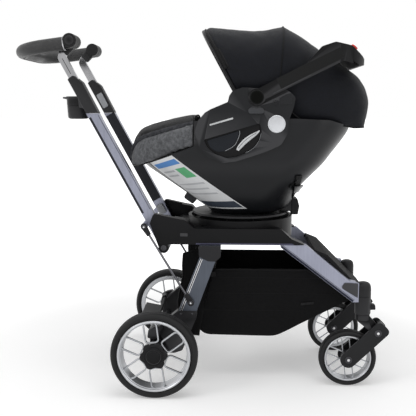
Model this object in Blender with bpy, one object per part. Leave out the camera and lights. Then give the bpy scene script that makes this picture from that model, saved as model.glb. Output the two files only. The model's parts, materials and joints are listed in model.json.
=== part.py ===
"""Travel system stroller: wheeled chassis, leaning uprights and a swivelling infant carrier.

Metres, +X towards the front wheels, +Z up, -Y the right-hand side. Sizes are set out from the
rear axle (x = 0) and the floor (z = 0); the whole is then centred over its own footprint.
"""
import math

import bmesh
import bpy
from mathutils import Matrix, Vector

for item in list(bpy.data.objects):
    bpy.data.objects.remove(item, do_unlink=True)

# Clearance between pieces that rest on or slide past each other
GAP = 0.0003

# Wheels
WHEEL_STEPS = 32
SPOKE_PAIRS = 6
SPOKE_THICK = 0.0042
SPOKE_PHASE = math.radians(-83)
REAR_WHEEL_R = 0.127
REAR_TYRE_WIDTH = 0.044
REAR_TYRE_DEPTH = 0.020
REAR_RIM_DEPTH = 0.015
REAR_RIM_R = REAR_WHEEL_R - REAR_TYRE_DEPTH
REAR_RIM_BORE = REAR_RIM_R - REAR_RIM_DEPTH
REAR_RIM_WIDTH = 0.036
REAR_TRACK = 0.259            # wheel's middle plane from the stroller's middle
REAR_SPOKE_SPREAD = 0.019     # half the distance between the two spokes of a pair
REAR_HUB_R = 0.034
REAR_CAP_R = 0.043
REAR_CAP_THICK = 0.008
FRONT_WHEEL_R = 0.086
FRONT_TYRE_WIDTH = 0.034
FRONT_TYRE_DEPTH = 0.0155
FRONT_RIM_DEPTH = 0.0085
FRONT_RIM_R = FRONT_WHEEL_R - FRONT_TYRE_DEPTH
FRONT_RIM_BORE = FRONT_RIM_R - FRONT_RIM_DEPTH
FRONT_RIM_WIDTH = 0.027
FRONT_SPOKE_SPREAD = 0.012
FRONT_HUB_R = 0.017

# Casters and front suspension
CASTER_X = 0.6147
CASTER_TRAIL = 0.0417         # how far the front axle lies behind the caster's turning axis
FRONT_AXLE_X = CASTER_X - CASTER_TRAIL
CASTER_Y = 0.148
CASTER_R = 0.0237
CASTER_BOTTOM = 0.222
CASTER_TOP = 0.321
STEM_R = 0.008
STEM_LENGTH = 0.05
FORK_FLANGE_R = 0.022
FORK_FLANGE_THICK = 0.016
FORK_HALF_WIDTH = 0.0212
FORK_EYE_R = 0.014
ARM_PIVOT = Vector((CASTER_X + 0.0433, FRONT_WHEEL_R + 0.084))
ARM_HALF_WIDTH = 0.024
ARM_PLATE_THICK = 0.007
ARM_NOSE = 0.030              # how far the arm reaches past its pivot

# Chassis
HUB_X = 0.2475
HUB_INNER_R = 0.132
HUB_OUTER_R = 0.164
HUB_TOP = 0.486
BODY_BOTTOM = 0.434
BODY_OUTER = 0.172            # outer faces of the side beams, from the middle
BEAM_INNER = 0.130
CHEEK_INNER = 0.104
TOWER_SLOT_END = 0.052
HUB_RIM_TOP = 0.5015          # raised rim round the turntable
HUB_RIM_INNER_R = 0.1545      # clear of the lock, which turns inside it
SPIDER_THICK = 0.0117
SPIDER_R = 0.050

# Front legs, rear legs, brake and basket
FRONT_LEG_INNER = 0.140
FRONT_LEG_OUTER = 0.166
REAR_LEG_INNER = 0.156
REAR_LEG_OUTER = 0.184
REAR_LEG_FOOT = 0.2353
BRACKET_OUTER = 0.186
AXLE_BOSS_R = 0.022
AXLE_BOSS_END = 0.214
REAR_AXLE_R = 0.009
BRAKE_AXIS = Vector((-0.012, REAR_WHEEL_R + 0.048))
BRAKE_BAR_R = 0.006
BRAKE_HOOK_OUTER = 0.204
BASKET_SIDE = FRONT_LEG_INNER - GAP
BASKET_TOP = 0.352
BASKET_FLOOR = 0.143
BASKET_WALL = 0.005
BASKET_TAPER = 0.14           # how much narrower the floor is than the rim

# Uprights, link rods, handle and cup holder
UPRIGHT_PIVOT = Vector((0.021, 0.423))
UPRIGHT_LEAN = math.radians(28.3)
UPRIGHT_Y = 0.134
RAIL_SET = 0.0034             # rail's centre line in front of its pivot
RAIL_WIDTH = 0.032            # seen from the side
RAIL_THICK = 0.028            # across the stroller
RAIL_LENGTH = 0.4466          # pivot to the bottom of the sleeve
RAIL_EYE_R = 0.0155
SLEEVE_THICK = 0.034
SLEEVE_BORE_FLOOR = 0.014
TUBE_WIDTH = 0.024
TUBE_THICK = 0.014
TUBE_FOOT = 0.055             # lower end of the chrome tube above the sleeve's bottom
TUBE_ELBOW = 0.188            # elbow above the sleeve's bottom
HANDLE_PIVOT = Vector((-0.240, 1.022))
KNUCKLE_R = 0.020
KNUCKLE_INNER = 0.120
KNUCKLE_SPLIT = 0.145
KNUCKLE_OUTER = 0.185
GRIP_R = 0.0193
GRIP_Y = 0.166
GRIP_BACK_X = -0.4041
GRIP_CORNER_R = 0.095
GRIP_DROP = math.radians(7.3)
GRIP_START_X = -0.2612
ARM_AXIS_Z = 1.0168           # grip's axis above the floor, straight over the handle pivot
CUP_X = -0.243
CUP_TOP_R = 0.0353
CUP_BOTTOM_R = 0.0310
CUP_TOP = 0.867
CUP_BOTTOM = 0.800
CUP_WALL = 0.003
LINK_TOP = Vector((-0.034, 0.490))
LINK_FOOT = Vector((0.1017, 0.263))
LINK_PIN_R = 0.0045
LINK_ROD_R = 0.0035
LINK_EYE_R = 0.0095
LINK_INNER = 0.1863
LINK_OUTER = 0.194

# Seat
DRUM_R = 0.044
DOCK_R = 0.150
DOCK_TOP = 0.514
DOCK_EDGE = 0.006
SHELL_SIDE = 0.2077           # half width of the shell
SHELL_WALL = 0.010
PANEL_INNER = 0.196
PANEL_FACE = 0.216
PANEL_POCKET = 0.004
BUTTON_TRAVEL = 0.003
COVER_WALL = 0.012
PAD_HALF_WIDTH = 0.080
PAD_THICK = 0.022
CANOPY_CLOTH = 0.004
CANOPY_SIDE = 0.1953
BOW_R = 0.0055
BOW_SIDE = 0.189
BOW_PIVOT = Vector((0.238, 0.868))
BOW_CROWN = Vector((0.134, 1.0575))
CARRY_PIVOT = Vector((0.290, 0.862))
CARRY_HUB_R = 0.024
CARRY_ARM_INNER = 0.205
CARRY_ARM_OUTER = 0.217
CARRY_CORNER_R = 0.085
CARRY_CORNER = Vector((0.512, CARRY_ARM_OUTER - CARRY_CORNER_R))

UP_RAIL = Vector((-math.sin(UPRIGHT_LEAN), math.cos(UPRIGHT_LEAN)))
OFF_RAIL = Vector((math.cos(UPRIGHT_LEAN), math.sin(UPRIGHT_LEAN)))
CUP_Y = -(UPRIGHT_Y - SLEEVE_THICK / 2 - GAP - CUP_TOP_R)


# Outlines and solids
def rounded(points, radius=0.0, steps=2):
    """Closed outline with arcs for corners; a point's third value is its own radius."""
    outline = []
    count = len(points)
    for index, point in enumerate(points):
        corner = Vector(point[:2])
        reach = point[2] if len(point) > 2 else radius
        if reach <= 0:
            outline.append(corner)
            continue
        before = Vector(points[index - 1][:2]) - corner
        after = Vector(points[(index + 1) % count][:2]) - corner
        half = before.angle(after) / 2
        trim = min(reach / math.tan(half), 0.48 * before.length, 0.48 * after.length)
        reach = trim * math.tan(half)
        middle = (before.normalized() + after.normalized()).normalized()
        centre = corner + middle * (reach / math.sin(half))
        start = corner + before.normalized() * trim - centre
        end = corner + after.normalized() * trim - centre
        first = math.atan2(start.y, start.x)
        turn = (math.atan2(end.y, end.x) - first + math.pi) % (2 * math.pi) - math.pi
        for step in range(steps + 1):
            angle = first + turn * step / steps
            outline.append(centre + reach * Vector((math.cos(angle), math.sin(angle))))
    return outline


def circle(centre, radius, steps=16):
    turns = [2 * math.pi * step / steps for step in range(steps)]
    return [Vector(centre) + radius * Vector((math.cos(a), math.sin(a))) for a in turns]


def runs_at(path, index):
    """Unit directions of the path's pieces that meet at one of its points."""
    ways = []
    if index:
        ways.append((path[index] - path[index - 1]).normalized())
    if index + 1 < len(path):
        ways.append((path[index + 1] - path[index]).normalized())
    return ways


def band(path, half):
    """Outline of a strip of constant width along a bent line in the side view."""
    left, right = [], []
    for index, point in enumerate(path):
        ways = runs_at(path, index)
        run = sum(ways, Vector((0, 0))).normalized()
        aside = Vector((-run.y, run.x)) * half / run.dot(ways[0])
        left.append(point + aside)
        right.append(point - aside)
    return left + right[::-1]


def lofted(rings, closed=False):
    """Skin over rings of equal count, capped unless the row of rings closes on itself."""
    shape = bmesh.new()
    loops = [[shape.verts.new(point) for point in ring] for ring in rings]
    pairs = list(zip(loops, loops[1:]))
    if closed:
        pairs.append((loops[-1], loops[0]))
    for low, high in pairs:
        for index in range(len(low)):
            shape.faces.new((low[index - 1], low[index], high[index], high[index - 1]))
    if not closed:
        shape.faces.new(loops[0])
        shape.faces.new(loops[-1][::-1])
    bmesh.ops.recalc_face_normals(shape, faces=shape.faces)
    return shape


def prism(outline, low, high):
    """Side outline in X and Z drawn out across the stroller."""
    return lofted([[(x, y, z) for x, z in outline] for y in (low, high)])


def stacked(levels, centre, steps=16, axis="Z"):
    """Solid of discs: (radius, distance along the axis) from one end to the other."""
    rings = []
    for radius, along in levels:
        ring = []
        for step in range(steps):
            angle = 2 * math.pi * step / steps
            across, up = radius * math.cos(angle), radius * math.sin(angle)
            offset = (across, along, up) if axis == "Y" else (across, up, along)
            ring.append(Vector(centre) + Vector(offset))
        rings.append(ring)
    return lofted(rings)


def turned(profile, centre, steps=24, axis="Y"):
    """Closed profile of (radius, distance along the axis) turned into a ring."""
    rings = []
    for step in range(steps):
        angle = 2 * math.pi * step / steps
        across, up = math.cos(angle), math.sin(angle)
        ring = []
        for radius, along in profile:
            flat = (radius * across, along, radius * up)
            offset = flat if axis == "Y" else (flat[0], flat[2], flat[1])
            ring.append(Vector(centre) + Vector(offset))
        rings.append(ring)
    return lofted(rings, closed=True)


def swept(path, section, side):
    """Section of (a, b) points along a path: a lies along side, b is square to both."""
    side = Vector(side).normalized()
    path = [Vector(point) for point in path]
    rings = []
    for index, point in enumerate(path):
        ways = runs_at(path, index)
        run = sum(ways, Vector((0, 0, 0))).normalized()
        square = run.cross(side).normalized() / max(0.5, run.dot(ways[0]))
        rings.append([point + side * a + square * b for a, b in section])
    return lofted(rings)


def arch(foot, crown, half_width, squareness=0.6, steps=12, inset=0.0):
    """Half hoop from one side to the other, standing on the line from foot to crown."""
    foot, crown = Vector(foot), Vector(crown)
    rise = (crown - foot).length - inset
    up = (crown - foot).normalized()
    points = []
    for step in range(steps + 1):
        lean = math.cos(math.pi * step / steps)
        lift = math.sin(math.pi * step / steps) if 0 < step < steps else 0.0
        across = math.copysign(abs(lean) ** squareness, lean) * (half_width - inset)
        climb = lift ** squareness * rise
        points.append((foot.x + up.x * climb, across, foot.y + up.y * climb))
    return points


def combined(base, tools, operation):
    """Boolean of solids, worked out at once so that only the result stays."""
    holder = bpy.data.objects.new("work", bpy.data.meshes.new("work"))
    base.to_mesh(holder.data)
    bpy.context.collection.objects.link(holder)
    helpers = []
    for tool in tools:
        helper = bpy.data.objects.new("tool", bpy.data.meshes.new("tool"))
        tool.to_mesh(helper.data)
        bpy.context.collection.objects.link(helper)
        helpers.append(helper)
        step = holder.modifiers.new("step", "BOOLEAN")
        step.operation = operation
        step.solver = "EXACT"
        step.object = helper
    bpy.context.view_layer.update()
    result = bmesh.new()
    result.from_mesh(holder.evaluated_get(bpy.context.evaluated_depsgraph_get()).data)
    for extra in [holder, *helpers]:
        bpy.data.objects.remove(extra, do_unlink=True)
    return result


def joined(base, *tools):
    return combined(base, tools, "UNION")


def cut(base, *tools):
    return combined(base, tools, "DIFFERENCE")


def mirrored(shape):
    """The same solid on the other side of the stroller."""
    other = shape.copy()
    bmesh.ops.transform(other, matrix=Matrix.Scale(-1, 4, (0, 1, 0)), verts=other.verts)
    bmesh.ops.reverse_faces(other, faces=other.faces)
    return other


# Materials
def finish(name, colour, roughness, metallic=0.0):
    material = bpy.data.materials.new(name)
    material.use_nodes = True
    shader = material.node_tree.nodes["Principled BSDF"]
    shader.inputs["Base Color"].default_value = (*colour, 1)
    shader.inputs["Roughness"].default_value = roughness
    shader.inputs["Metallic"].default_value = metallic
    return material


BLACK = finish("black plastic", (0.02, 0.02, 0.022), 0.5)
SATIN_BLACK = finish("satin black plastic", (0.035, 0.036, 0.04), 0.38)
LAVENDER = finish("lavender silver aluminium", (0.50, 0.49, 0.57), 0.35, 0.8)
BLUE_GREY = finish("blue grey aluminium", (0.30, 0.33, 0.38), 0.38, 0.8)
CHROME = finish("chromed steel", (0.80, 0.80, 0.80), 0.12, 1.0)
SILVER = finish("silver painted rim", (0.60, 0.61, 0.62), 0.3, 0.8)
RUBBER = finish("tyre rubber", (0.015, 0.015, 0.015), 0.75)
LEATHER = finish("dark grey leatherette", (0.04, 0.04, 0.042), 0.55)
CANVAS = finish("black canopy cloth", (0.018, 0.019, 0.024), 0.7)
BASKET_CLOTH = finish("black basket cloth", (0.016, 0.016, 0.016), 0.8)
MELANGE = finish("grey melange cloth", (0.16, 0.17, 0.18), 0.85)
PADDING = finish("charcoal padding", (0.03, 0.031, 0.034), 0.9)
GREY_PLASTIC = finish("grey plastic", (0.30, 0.31, 0.33), 0.5)
CORAL = finish("coral button", (0.80, 0.12, 0.10), 0.4)

stroller = bpy.data.objects.new("stroller", None)
bpy.context.collection.objects.link(stroller)


def part(name, shape, material, pivot=(0, 0, 0)):
    """Named solid whose origin is on its own joint's axis."""
    bmesh.ops.remove_doubles(shape, verts=shape.verts, dist=0.00001)
    bmesh.ops.translate(shape, vec=-Vector(pivot), verts=shape.verts)
    mesh = bpy.data.meshes.new(name)
    shape.to_mesh(mesh)
    mesh.shade_smooth()
    mesh.set_sharp_from_angle(angle=math.radians(35))
    mesh.materials.append(material)
    piece = bpy.data.objects.new(name, mesh)
    piece.location = pivot
    piece.parent = stroller
    bpy.context.collection.objects.link(piece)


def both_sides(name, right_shape, material, pivot=(0, 0, 0)):
    """The right-hand solid as given, and its mirror image on the left."""
    part(name + "_left", mirrored(right_shape), material, (pivot[0], -pivot[1], pivot[2]))
    part(name + "_right", right_shape, material, pivot)


# Wheels
def tyre(centre, outer, seat, width):
    half = width / 2
    profile = [(seat, -half * 0.72), (seat, half * 0.72), (outer - 0.009, half),
               (outer, half * 0.42), (outer, -half * 0.42), (outer - 0.009, -half)]
    return turned(profile, centre, WHEEL_STEPS)


def rim(centre, seat, bore, width, barrel, hub_r, spread):
    """Rim ring, hub barrel and pairs of parallel spokes in one piece."""
    half = width / 2
    ring = turned([(bore, -half * 0.8), (bore, half * 0.8), (seat - GAP, half),
                   (seat - GAP, -half)], centre, WHEEL_STEPS)
    middle_r = (bore + seat) / 2
    spokes = []
    for index in range(SPOKE_PAIRS):
        angle = SPOKE_PHASE + 2 * math.pi * index / SPOKE_PAIRS
        along = Vector((math.cos(angle), math.sin(angle)))
        aside = Vector((-along.y, along.x))
        for sign in (-1, 1):
            offset = Vector((centre[0], centre[2])) + aside * spread * sign
            start = offset + along * hub_r * 0.5
            end = offset + along * math.sqrt(middle_r ** 2 - spread ** 2)
            thick = aside * SPOKE_THICK / 2
            spokes.append(prism([start - thick, end - thick, end + thick, start + thick],
                                centre[1] - half * 0.35, centre[1] + half * 0.35))
    return joined(ring, stacked(barrel, centre, 12, "Y"), *spokes)


rear_centre = (0, -REAR_TRACK, REAR_WHEEL_R)
rear_inboard = REAR_TRACK - AXLE_BOSS_END - GAP
rear_barrel = [(0.020, rear_inboard), (0.020, 0.016), (REAR_HUB_R, 0.013), (REAR_HUB_R, -0.011)]
both_sides("rear_tyre", tyre(rear_centre, REAR_WHEEL_R, REAR_RIM_R, REAR_TYRE_WIDTH), RUBBER,
           rear_centre)
both_sides("rear_rim", rim(rear_centre, REAR_RIM_R, REAR_RIM_BORE, REAR_RIM_WIDTH, rear_barrel,
                           REAR_HUB_R, REAR_SPOKE_SPREAD), SILVER, rear_centre)
cap_face = -0.011 - GAP
both_sides("rear_hub_cap", stacked([(REAR_CAP_R, cap_face), (REAR_CAP_R, cap_face - 0.005),
                                    (REAR_CAP_R - 0.005, cap_face - REAR_CAP_THICK)],
                                   rear_centre, 20, "Y"), SATIN_BLACK, rear_centre)

front_centre = (FRONT_AXLE_X, -CASTER_Y, FRONT_WHEEL_R)
front_barrel = [(FRONT_HUB_R, FORK_HALF_WIDTH), (FRONT_HUB_R, -FORK_HALF_WIDTH)]
both_sides("front_tyre", tyre(front_centre, FRONT_WHEEL_R, FRONT_RIM_R, FRONT_TYRE_WIDTH),
           RUBBER, front_centre)
both_sides("front_rim", rim(front_centre, FRONT_RIM_R, FRONT_RIM_BORE, FRONT_RIM_WIDTH,
                            front_barrel, FRONT_HUB_R, FRONT_SPOKE_SPREAD), SILVER, front_centre)

# Caster forks, each with a stem that turns in its housing, and the sprung wheel arms
caster_axis = (CASTER_X, -CASTER_Y, 0)
flange_top = CASTER_BOTTOM - GAP
flange = stacked([(FORK_FLANGE_R, flange_top - FORK_FLANGE_THICK), (FORK_FLANGE_R, flange_top)],
                 caster_axis)
stem = stacked([(STEM_R, flange_top - 0.004), (STEM_R, CASTER_BOTTOM + STEM_LENGTH)], caster_axis)
neck = prism(rounded([(CASTER_X - 0.018, flange_top - 0.002),
                      (CASTER_X + 0.018, flange_top - 0.002),
                      (ARM_PIVOT.x + FORK_EYE_R * 0.8, ARM_PIVOT.y + FORK_EYE_R * 0.6),
                      (ARM_PIVOT.x + FORK_EYE_R * 0.2, ARM_PIVOT.y - FORK_EYE_R * 0.9),
                      (ARM_PIVOT.x - FORK_EYE_R * 0.9, ARM_PIVOT.y - FORK_EYE_R * 0.4),
                      (CASTER_X - 0.016, flange_top - FORK_FLANGE_THICK - 0.003)], 0.003, 2),
             -CASTER_Y - FORK_HALF_WIDTH + 0.007, -CASTER_Y + FORK_HALF_WIDTH - 0.007)
eye = stacked([(FORK_EYE_R, -CASTER_Y - FORK_HALF_WIDTH), (FORK_EYE_R, -CASTER_Y + FORK_HALF_WIDTH)],
              (ARM_PIVOT.x, 0, ARM_PIVOT.y), 14, "Y")
both_sides("caster_fork", joined(flange, stem, neck, eye), BLACK, caster_axis)

axle_point = Vector((FRONT_AXLE_X, FRONT_WHEEL_R))
arm_run = (ARM_PIVOT - axle_point).normalized()
arm_side = Vector((-arm_run.y, arm_run.x))
arm_tip = ARM_PIVOT + arm_run * ARM_NOSE
arm_outline = rounded([(*(arm_tip + arm_side * ARM_HALF_WIDTH), 0.014),
                       (*(axle_point - arm_run * 0.024 + arm_side * ARM_HALF_WIDTH), 0.023),
                       (*(axle_point - arm_run * 0.024 - arm_side * ARM_HALF_WIDTH), 0.023),
                       (*(arm_tip - arm_side * ARM_HALF_WIDTH), 0.014)], steps=5)
plate_in = FORK_HALF_WIDTH + GAP
plate_out = plate_in + ARM_PLATE_THICK
web_start = ARM_PIVOT + arm_run * (FORK_EYE_R + 0.005)
web_end = arm_tip - arm_run * 0.002
web = [web_start + arm_side * 0.016, web_end + arm_side * 0.010, web_end - arm_side * 0.010,
       web_start - arm_side * 0.016]
front_arm = joined(prism(arm_outline, -CASTER_Y - plate_out, -CASTER_Y - plate_in),
                   prism(arm_outline, -CASTER_Y + plate_in, -CASTER_Y + plate_out),
                   prism(web, -CASTER_Y - plate_in - 0.002, -CASTER_Y + plate_in + 0.002))
both_sides("front_arm", front_arm, SATIN_BLACK, (ARM_PIVOT.x, -CASTER_Y, ARM_PIVOT.y))

dome = [(CASTER_R, CASTER_BOTTOM), (CASTER_R, CASTER_TOP - 0.018),
        (CASTER_R * 0.93, CASTER_TOP - 0.009), (CASTER_R * 0.72, CASTER_TOP - 0.002),
        (CASTER_R * 0.35, CASTER_TOP)]
latch = prism(rounded([(CASTER_X + 0.018, 0.236), (CASTER_X + 0.038, 0.236),
                       (CASTER_X + 0.036, 0.252), (CASTER_X + 0.018, 0.256)], 0.003),
              -CASTER_Y - 0.008, -CASTER_Y + 0.0075)
bore = stacked([(STEM_R + GAP, CASTER_BOTTOM - 0.01),
                (STEM_R + GAP, CASTER_BOTTOM + STEM_LENGTH + 0.002)], caster_axis)
both_sides("caster_housing", cut(joined(stacked(dome, caster_axis), latch), bore), SATIN_BLACK)

# Chassis body: side beams with the rear towers, ring under the seat, rear deck, front bridge
hub_centre = (HUB_X, 0, 0)
beam_side = rounded([(0.034, BODY_BOTTOM), (0.418, BODY_BOTTOM), (0.434, 0.4365),
                     (0.398, 0.452, 0.008), (0.366, 0.4815, 0.020), (0.110, 0.4815, 0.022),
                     (0.086, 0.506, 0.006), (0.060, 0.511, 0.012), (-0.008, 0.526, 0.008),
                     (-0.020, 0.497, 0.008), (0.008, 0.420)], steps=3)
cheek_side = rounded([(0.034, BODY_BOTTOM), (0.130, BODY_BOTTOM), (0.130, 0.4815),
                      (0.062, 0.4815), (0.045, 0.472, 0.006), (-0.013, 0.472, 0.006),
                      (0.008, 0.420)])
slot_side = [(-0.060, 0.380), (TOWER_SLOT_END, 0.380), (TOWER_SLOT_END, 0.560), (-0.060, 0.560)]
slot_in = UPRIGHT_Y - RAIL_THICK / 2 - GAP
slot_out = UPRIGHT_Y + RAIL_THICK / 2 + GAP
fold_axis = (UPRIGHT_PIVOT.x, 0, UPRIGHT_PIVOT.y)
body = turned([(HUB_INNER_R, BODY_BOTTOM), (HUB_INNER_R, HUB_TOP), (HUB_RIM_INNER_R, HUB_TOP),
               (HUB_RIM_INNER_R, HUB_RIM_TOP), (HUB_OUTER_R, HUB_RIM_TOP),
               (HUB_OUTER_R, BODY_BOTTOM)], hub_centre, 36, "Z")
additions, slots = [], []
for sign in (-1, 1):
    additions.append(prism(beam_side, sign * BEAM_INNER, sign * BODY_OUTER))
    additions.append(prism(cheek_side, sign * CHEEK_INNER, sign * (BEAM_INNER + 0.001)))
    additions.append(stacked([(RAIL_EYE_R, sign * CHEEK_INNER), (RAIL_EYE_R, sign * BODY_OUTER)],
                             fold_axis, 16, "Y"))
    slots.append(prism(slot_side, sign * slot_in, sign * slot_out))
additions.append(prism([(0.058, BODY_BOTTOM), (0.170, BODY_BOTTOM), (0.170, 0.478), (0.058, 0.478)],
                       -CHEEK_INNER - 0.001, CHEEK_INNER + 0.001))
additions.append(prism(rounded([(0.335, BODY_BOTTOM), (0.400, BODY_BOTTOM), (0.395, 0.450),
                                (0.372, 0.470), (0.335, 0.470)], 0.003),
                       -BEAM_INNER - 0.001, BEAM_INNER + 0.001))
well = stacked([(HUB_INNER_R, BODY_BOTTOM - 0.02), (HUB_INNER_R, HUB_TOP + 0.05)], hub_centre, 36)
part("chassis_body", cut(joined(body, *additions), well, *slots), BLACK)

# Spider that carries the seat's turntable inside the ring
spider_low = BODY_BOTTOM + GAP
spider_top = spider_low + SPIDER_THICK
spider_reach = HUB_INNER_R - 0.0015
bars = []
for half_x, half_y in ((spider_reach, 0.012), (0.012, spider_reach)):
    bars.append(prism([(HUB_X - half_x, spider_low), (HUB_X + half_x, spider_low),
                       (HUB_X + half_x, spider_top), (HUB_X - half_x, spider_top)],
                      -half_y, half_y))
part("hub_spider", joined(stacked([(SPIDER_R, spider_low), (SPIDER_R, spider_top)], hub_centre),
                          *bars), BLACK)

# Front legs, their cross panel, and rear legs
leg_top = BODY_BOTTOM - GAP
front_side = [(0.366, 0.4260), (0.3705, leg_top), (0.4405, leg_top), (CASTER_X - 0.0447, 0.327),
              (CASTER_X - 0.0147, 0.320), (CASTER_X - 0.0147, 0.262), (CASTER_X - 0.0337, 0.262)]
socket = stacked([(CASTER_R + GAP, 0.20), (CASTER_R + GAP, 0.36)], caster_axis)
both_sides("front_leg", cut(prism(front_side, -FRONT_LEG_OUTER, -FRONT_LEG_INNER), socket),
           BLUE_GREY)
panel_side = rounded([(0.470, 0.4145), (0.507, 0.400, 0.012), (CASTER_X + 0.0333, 0.258, 0.004),
                      (CASTER_X + 0.0263, 0.251, 0.003), (0.4985, 0.3915, 0.012), (0.466, 0.4045)])
part("front_panel", cut(prism(panel_side, -FRONT_LEG_INNER + GAP, FRONT_LEG_INNER - GAP),
                        socket, mirrored(socket)), SATIN_BLACK)

rear_side = rounded([(0.127, leg_top), (0.190, leg_top), (0.190, 0.400, 0.010),
                     (0.1745, 0.386, 0.006), (0.119, REAR_LEG_FOOT), (0.0655, REAR_LEG_FOOT),
                     (0.1295, 0.402, 0.004)], steps=3)
link_boss = stacked([(0.008, -REAR_LEG_OUTER + 0.002), (0.008, -LINK_INNER + GAP)],
                    (LINK_FOOT.x, 0, LINK_FOOT.y), 12, "Y")
both_sides("rear_leg", joined(prism(rear_side, -REAR_LEG_OUTER, -REAR_LEG_INNER), link_boss),
           BLUE_GREY)

# Rear axle brackets, cross axle and brake
bracket_side = rounded([(0.062, REAR_LEG_FOOT - GAP), (0.120, REAR_LEG_FOOT - GAP),
                        (0.1185, 0.215, 0.008), (0.0755, REAR_WHEEL_R - 0.014, 0.012),
                        (0.052, REAR_WHEEL_R - 0.022, 0.008), (0.002, REAR_WHEEL_R - 0.022, 0.012),
                        (-0.0215, REAR_WHEEL_R - 0.010, 0.012),
                        (-0.0215, REAR_WHEEL_R + 0.039, 0.008)], steps=3)
brake_pivot = (BRAKE_AXIS.x, 0, BRAKE_AXIS.y)
brake_ear = stacked([(0.011, -BRACKET_OUTER), (0.011, -REAR_LEG_INNER)], brake_pivot, 12, "Y")
axle_boss = stacked([(AXLE_BOSS_R, -AXLE_BOSS_END), (AXLE_BOSS_R, -REAR_LEG_INNER)],
                    (0, 0, REAR_WHEEL_R), 16, "Y")
brake_bore = stacked([(BRAKE_BAR_R + GAP, -BRACKET_OUTER - 0.01),
                      (BRAKE_BAR_R + GAP, -REAR_LEG_INNER + 0.01)], brake_pivot, 12, "Y")
both_sides("axle_bracket", cut(joined(prism(bracket_side, -BRACKET_OUTER, -REAR_LEG_INNER),
                                      brake_ear, axle_boss), brake_bore), SATIN_BLACK)
axle_end = REAR_LEG_INNER - GAP
part("rear_axle_beam", stacked([(REAR_AXLE_R, -axle_end), (REAR_AXLE_R, axle_end)],
                               (0, 0, REAR_WHEEL_R), 16, "Y"), BLACK)

from_pivot = ((-0.015, -0.017), (0.004, -0.022), (0.018, -0.015), (0.030, 0.011), (0.023, 0.020),
              (0.004, 0.015), (-0.012, 0.006))
hook_side = rounded([BRAKE_AXIS + Vector(point) for point in from_pivot], 0.004, 2)
from_pivot = ((0, 0.0055), (-0.050, 0.015), (-0.053, 0.009), (0, -0.0055))
pedal_side = rounded([BRAKE_AXIS + Vector(point) for point in from_pivot], 0.0015, 2)
brake = stacked([(BRAKE_BAR_R, -BRAKE_HOOK_OUTER), (BRAKE_BAR_R, BRAKE_HOOK_OUTER)],
                brake_pivot, 12, "Y")
hooks = [prism(hook_side, sign * (BRACKET_OUTER + GAP), sign * (BRAKE_HOOK_OUTER + 0.001))
         for sign in (-1, 1)]
part("brake_pedal", joined(brake, prism(pedal_side, -0.055, 0.055), *hooks), GREY_PLASTIC,
     brake_pivot)

# Basket hung between the legs: a cloth tub, open above and along the front legs
tub_side = rounded([(0.169, BASKET_TOP), (0.449, BASKET_TOP), (0.589, 0.265),
                    (0.450, 0.198, 0.050), (0.355, BASKET_FLOOR, 0.040),
                    (0.118, BASKET_FLOOR, 0.028)], steps=4)
inner_side = rounded([(0.169 + BASKET_WALL, BASKET_TOP), (0.169 + BASKET_WALL, 0.42),
                      (0.640, 0.42), (0.5795, 0.2665), (0.4487, 0.198 + BASKET_WALL, 0.046),
                      (0.3537, BASKET_FLOOR + BASKET_WALL, 0.036),
                      (0.118 + BASKET_WALL * 1.3, BASKET_FLOOR + BASKET_WALL, 0.024)], steps=4)
tub = cut(prism(tub_side, -BASKET_SIDE, BASKET_SIDE),
          prism(inner_side, -BASKET_SIDE + BASKET_WALL, BASKET_SIDE - BASKET_WALL))
for vertex in tub.verts:
    drop = (BASKET_TOP - vertex.co.z) / (BASKET_TOP - BASKET_FLOOR)
    vertex.co.y *= 1 - BASKET_TAPER * drop * drop
straps = [prism([(0.128, 0.333), (0.1735, 0.333), (0.1735, 0.349), (0.134, 0.349)],
                sign * (BASKET_SIDE - 0.004), sign * (REAR_LEG_INNER - GAP)) for sign in (-1, 1)]
part("basket", joined(tub, *straps), BASKET_CLOTH)


# Uprights that lean back from the towers
def along_rail(up, off):
    """Point of the side view, up the rail from its pivot and off its centre line."""
    return UPRIGHT_PIVOT + UP_RAIL * up + OFF_RAIL * (off + RAIL_SET)


half_rail = RAIL_WIDTH / 2
rail_low, rail_high = -UPRIGHT_Y - RAIL_THICK / 2, -UPRIGHT_Y + RAIL_THICK / 2
rail_side = [along_rail(-0.004, half_rail - 0.006), along_rail(0.008, half_rail),
             along_rail(RAIL_LENGTH - 0.0091, half_rail),
             along_rail(RAIL_LENGTH + 0.0074, -half_rail),
             along_rail(0.008, -half_rail), along_rail(-0.004, -half_rail + 0.006)]
link_top_at = (LINK_TOP.x, 0, LINK_TOP.y)
rail = joined(prism(rail_side, rail_low, rail_high),
              stacked([(RAIL_EYE_R, rail_low), (RAIL_EYE_R, rail_high)], fold_axis, 16, "Y"),
              stacked([(LINK_EYE_R, rail_low), (LINK_EYE_R, rail_high)], link_top_at, 12, "Y"),
              stacked([(LINK_PIN_R, rail_low + 0.004), (LINK_PIN_R, -LINK_INNER + GAP)],
                      link_top_at, 10, "Y"))
both_sides("upright_rail", rail, LAVENDER, fold_axis)

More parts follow.
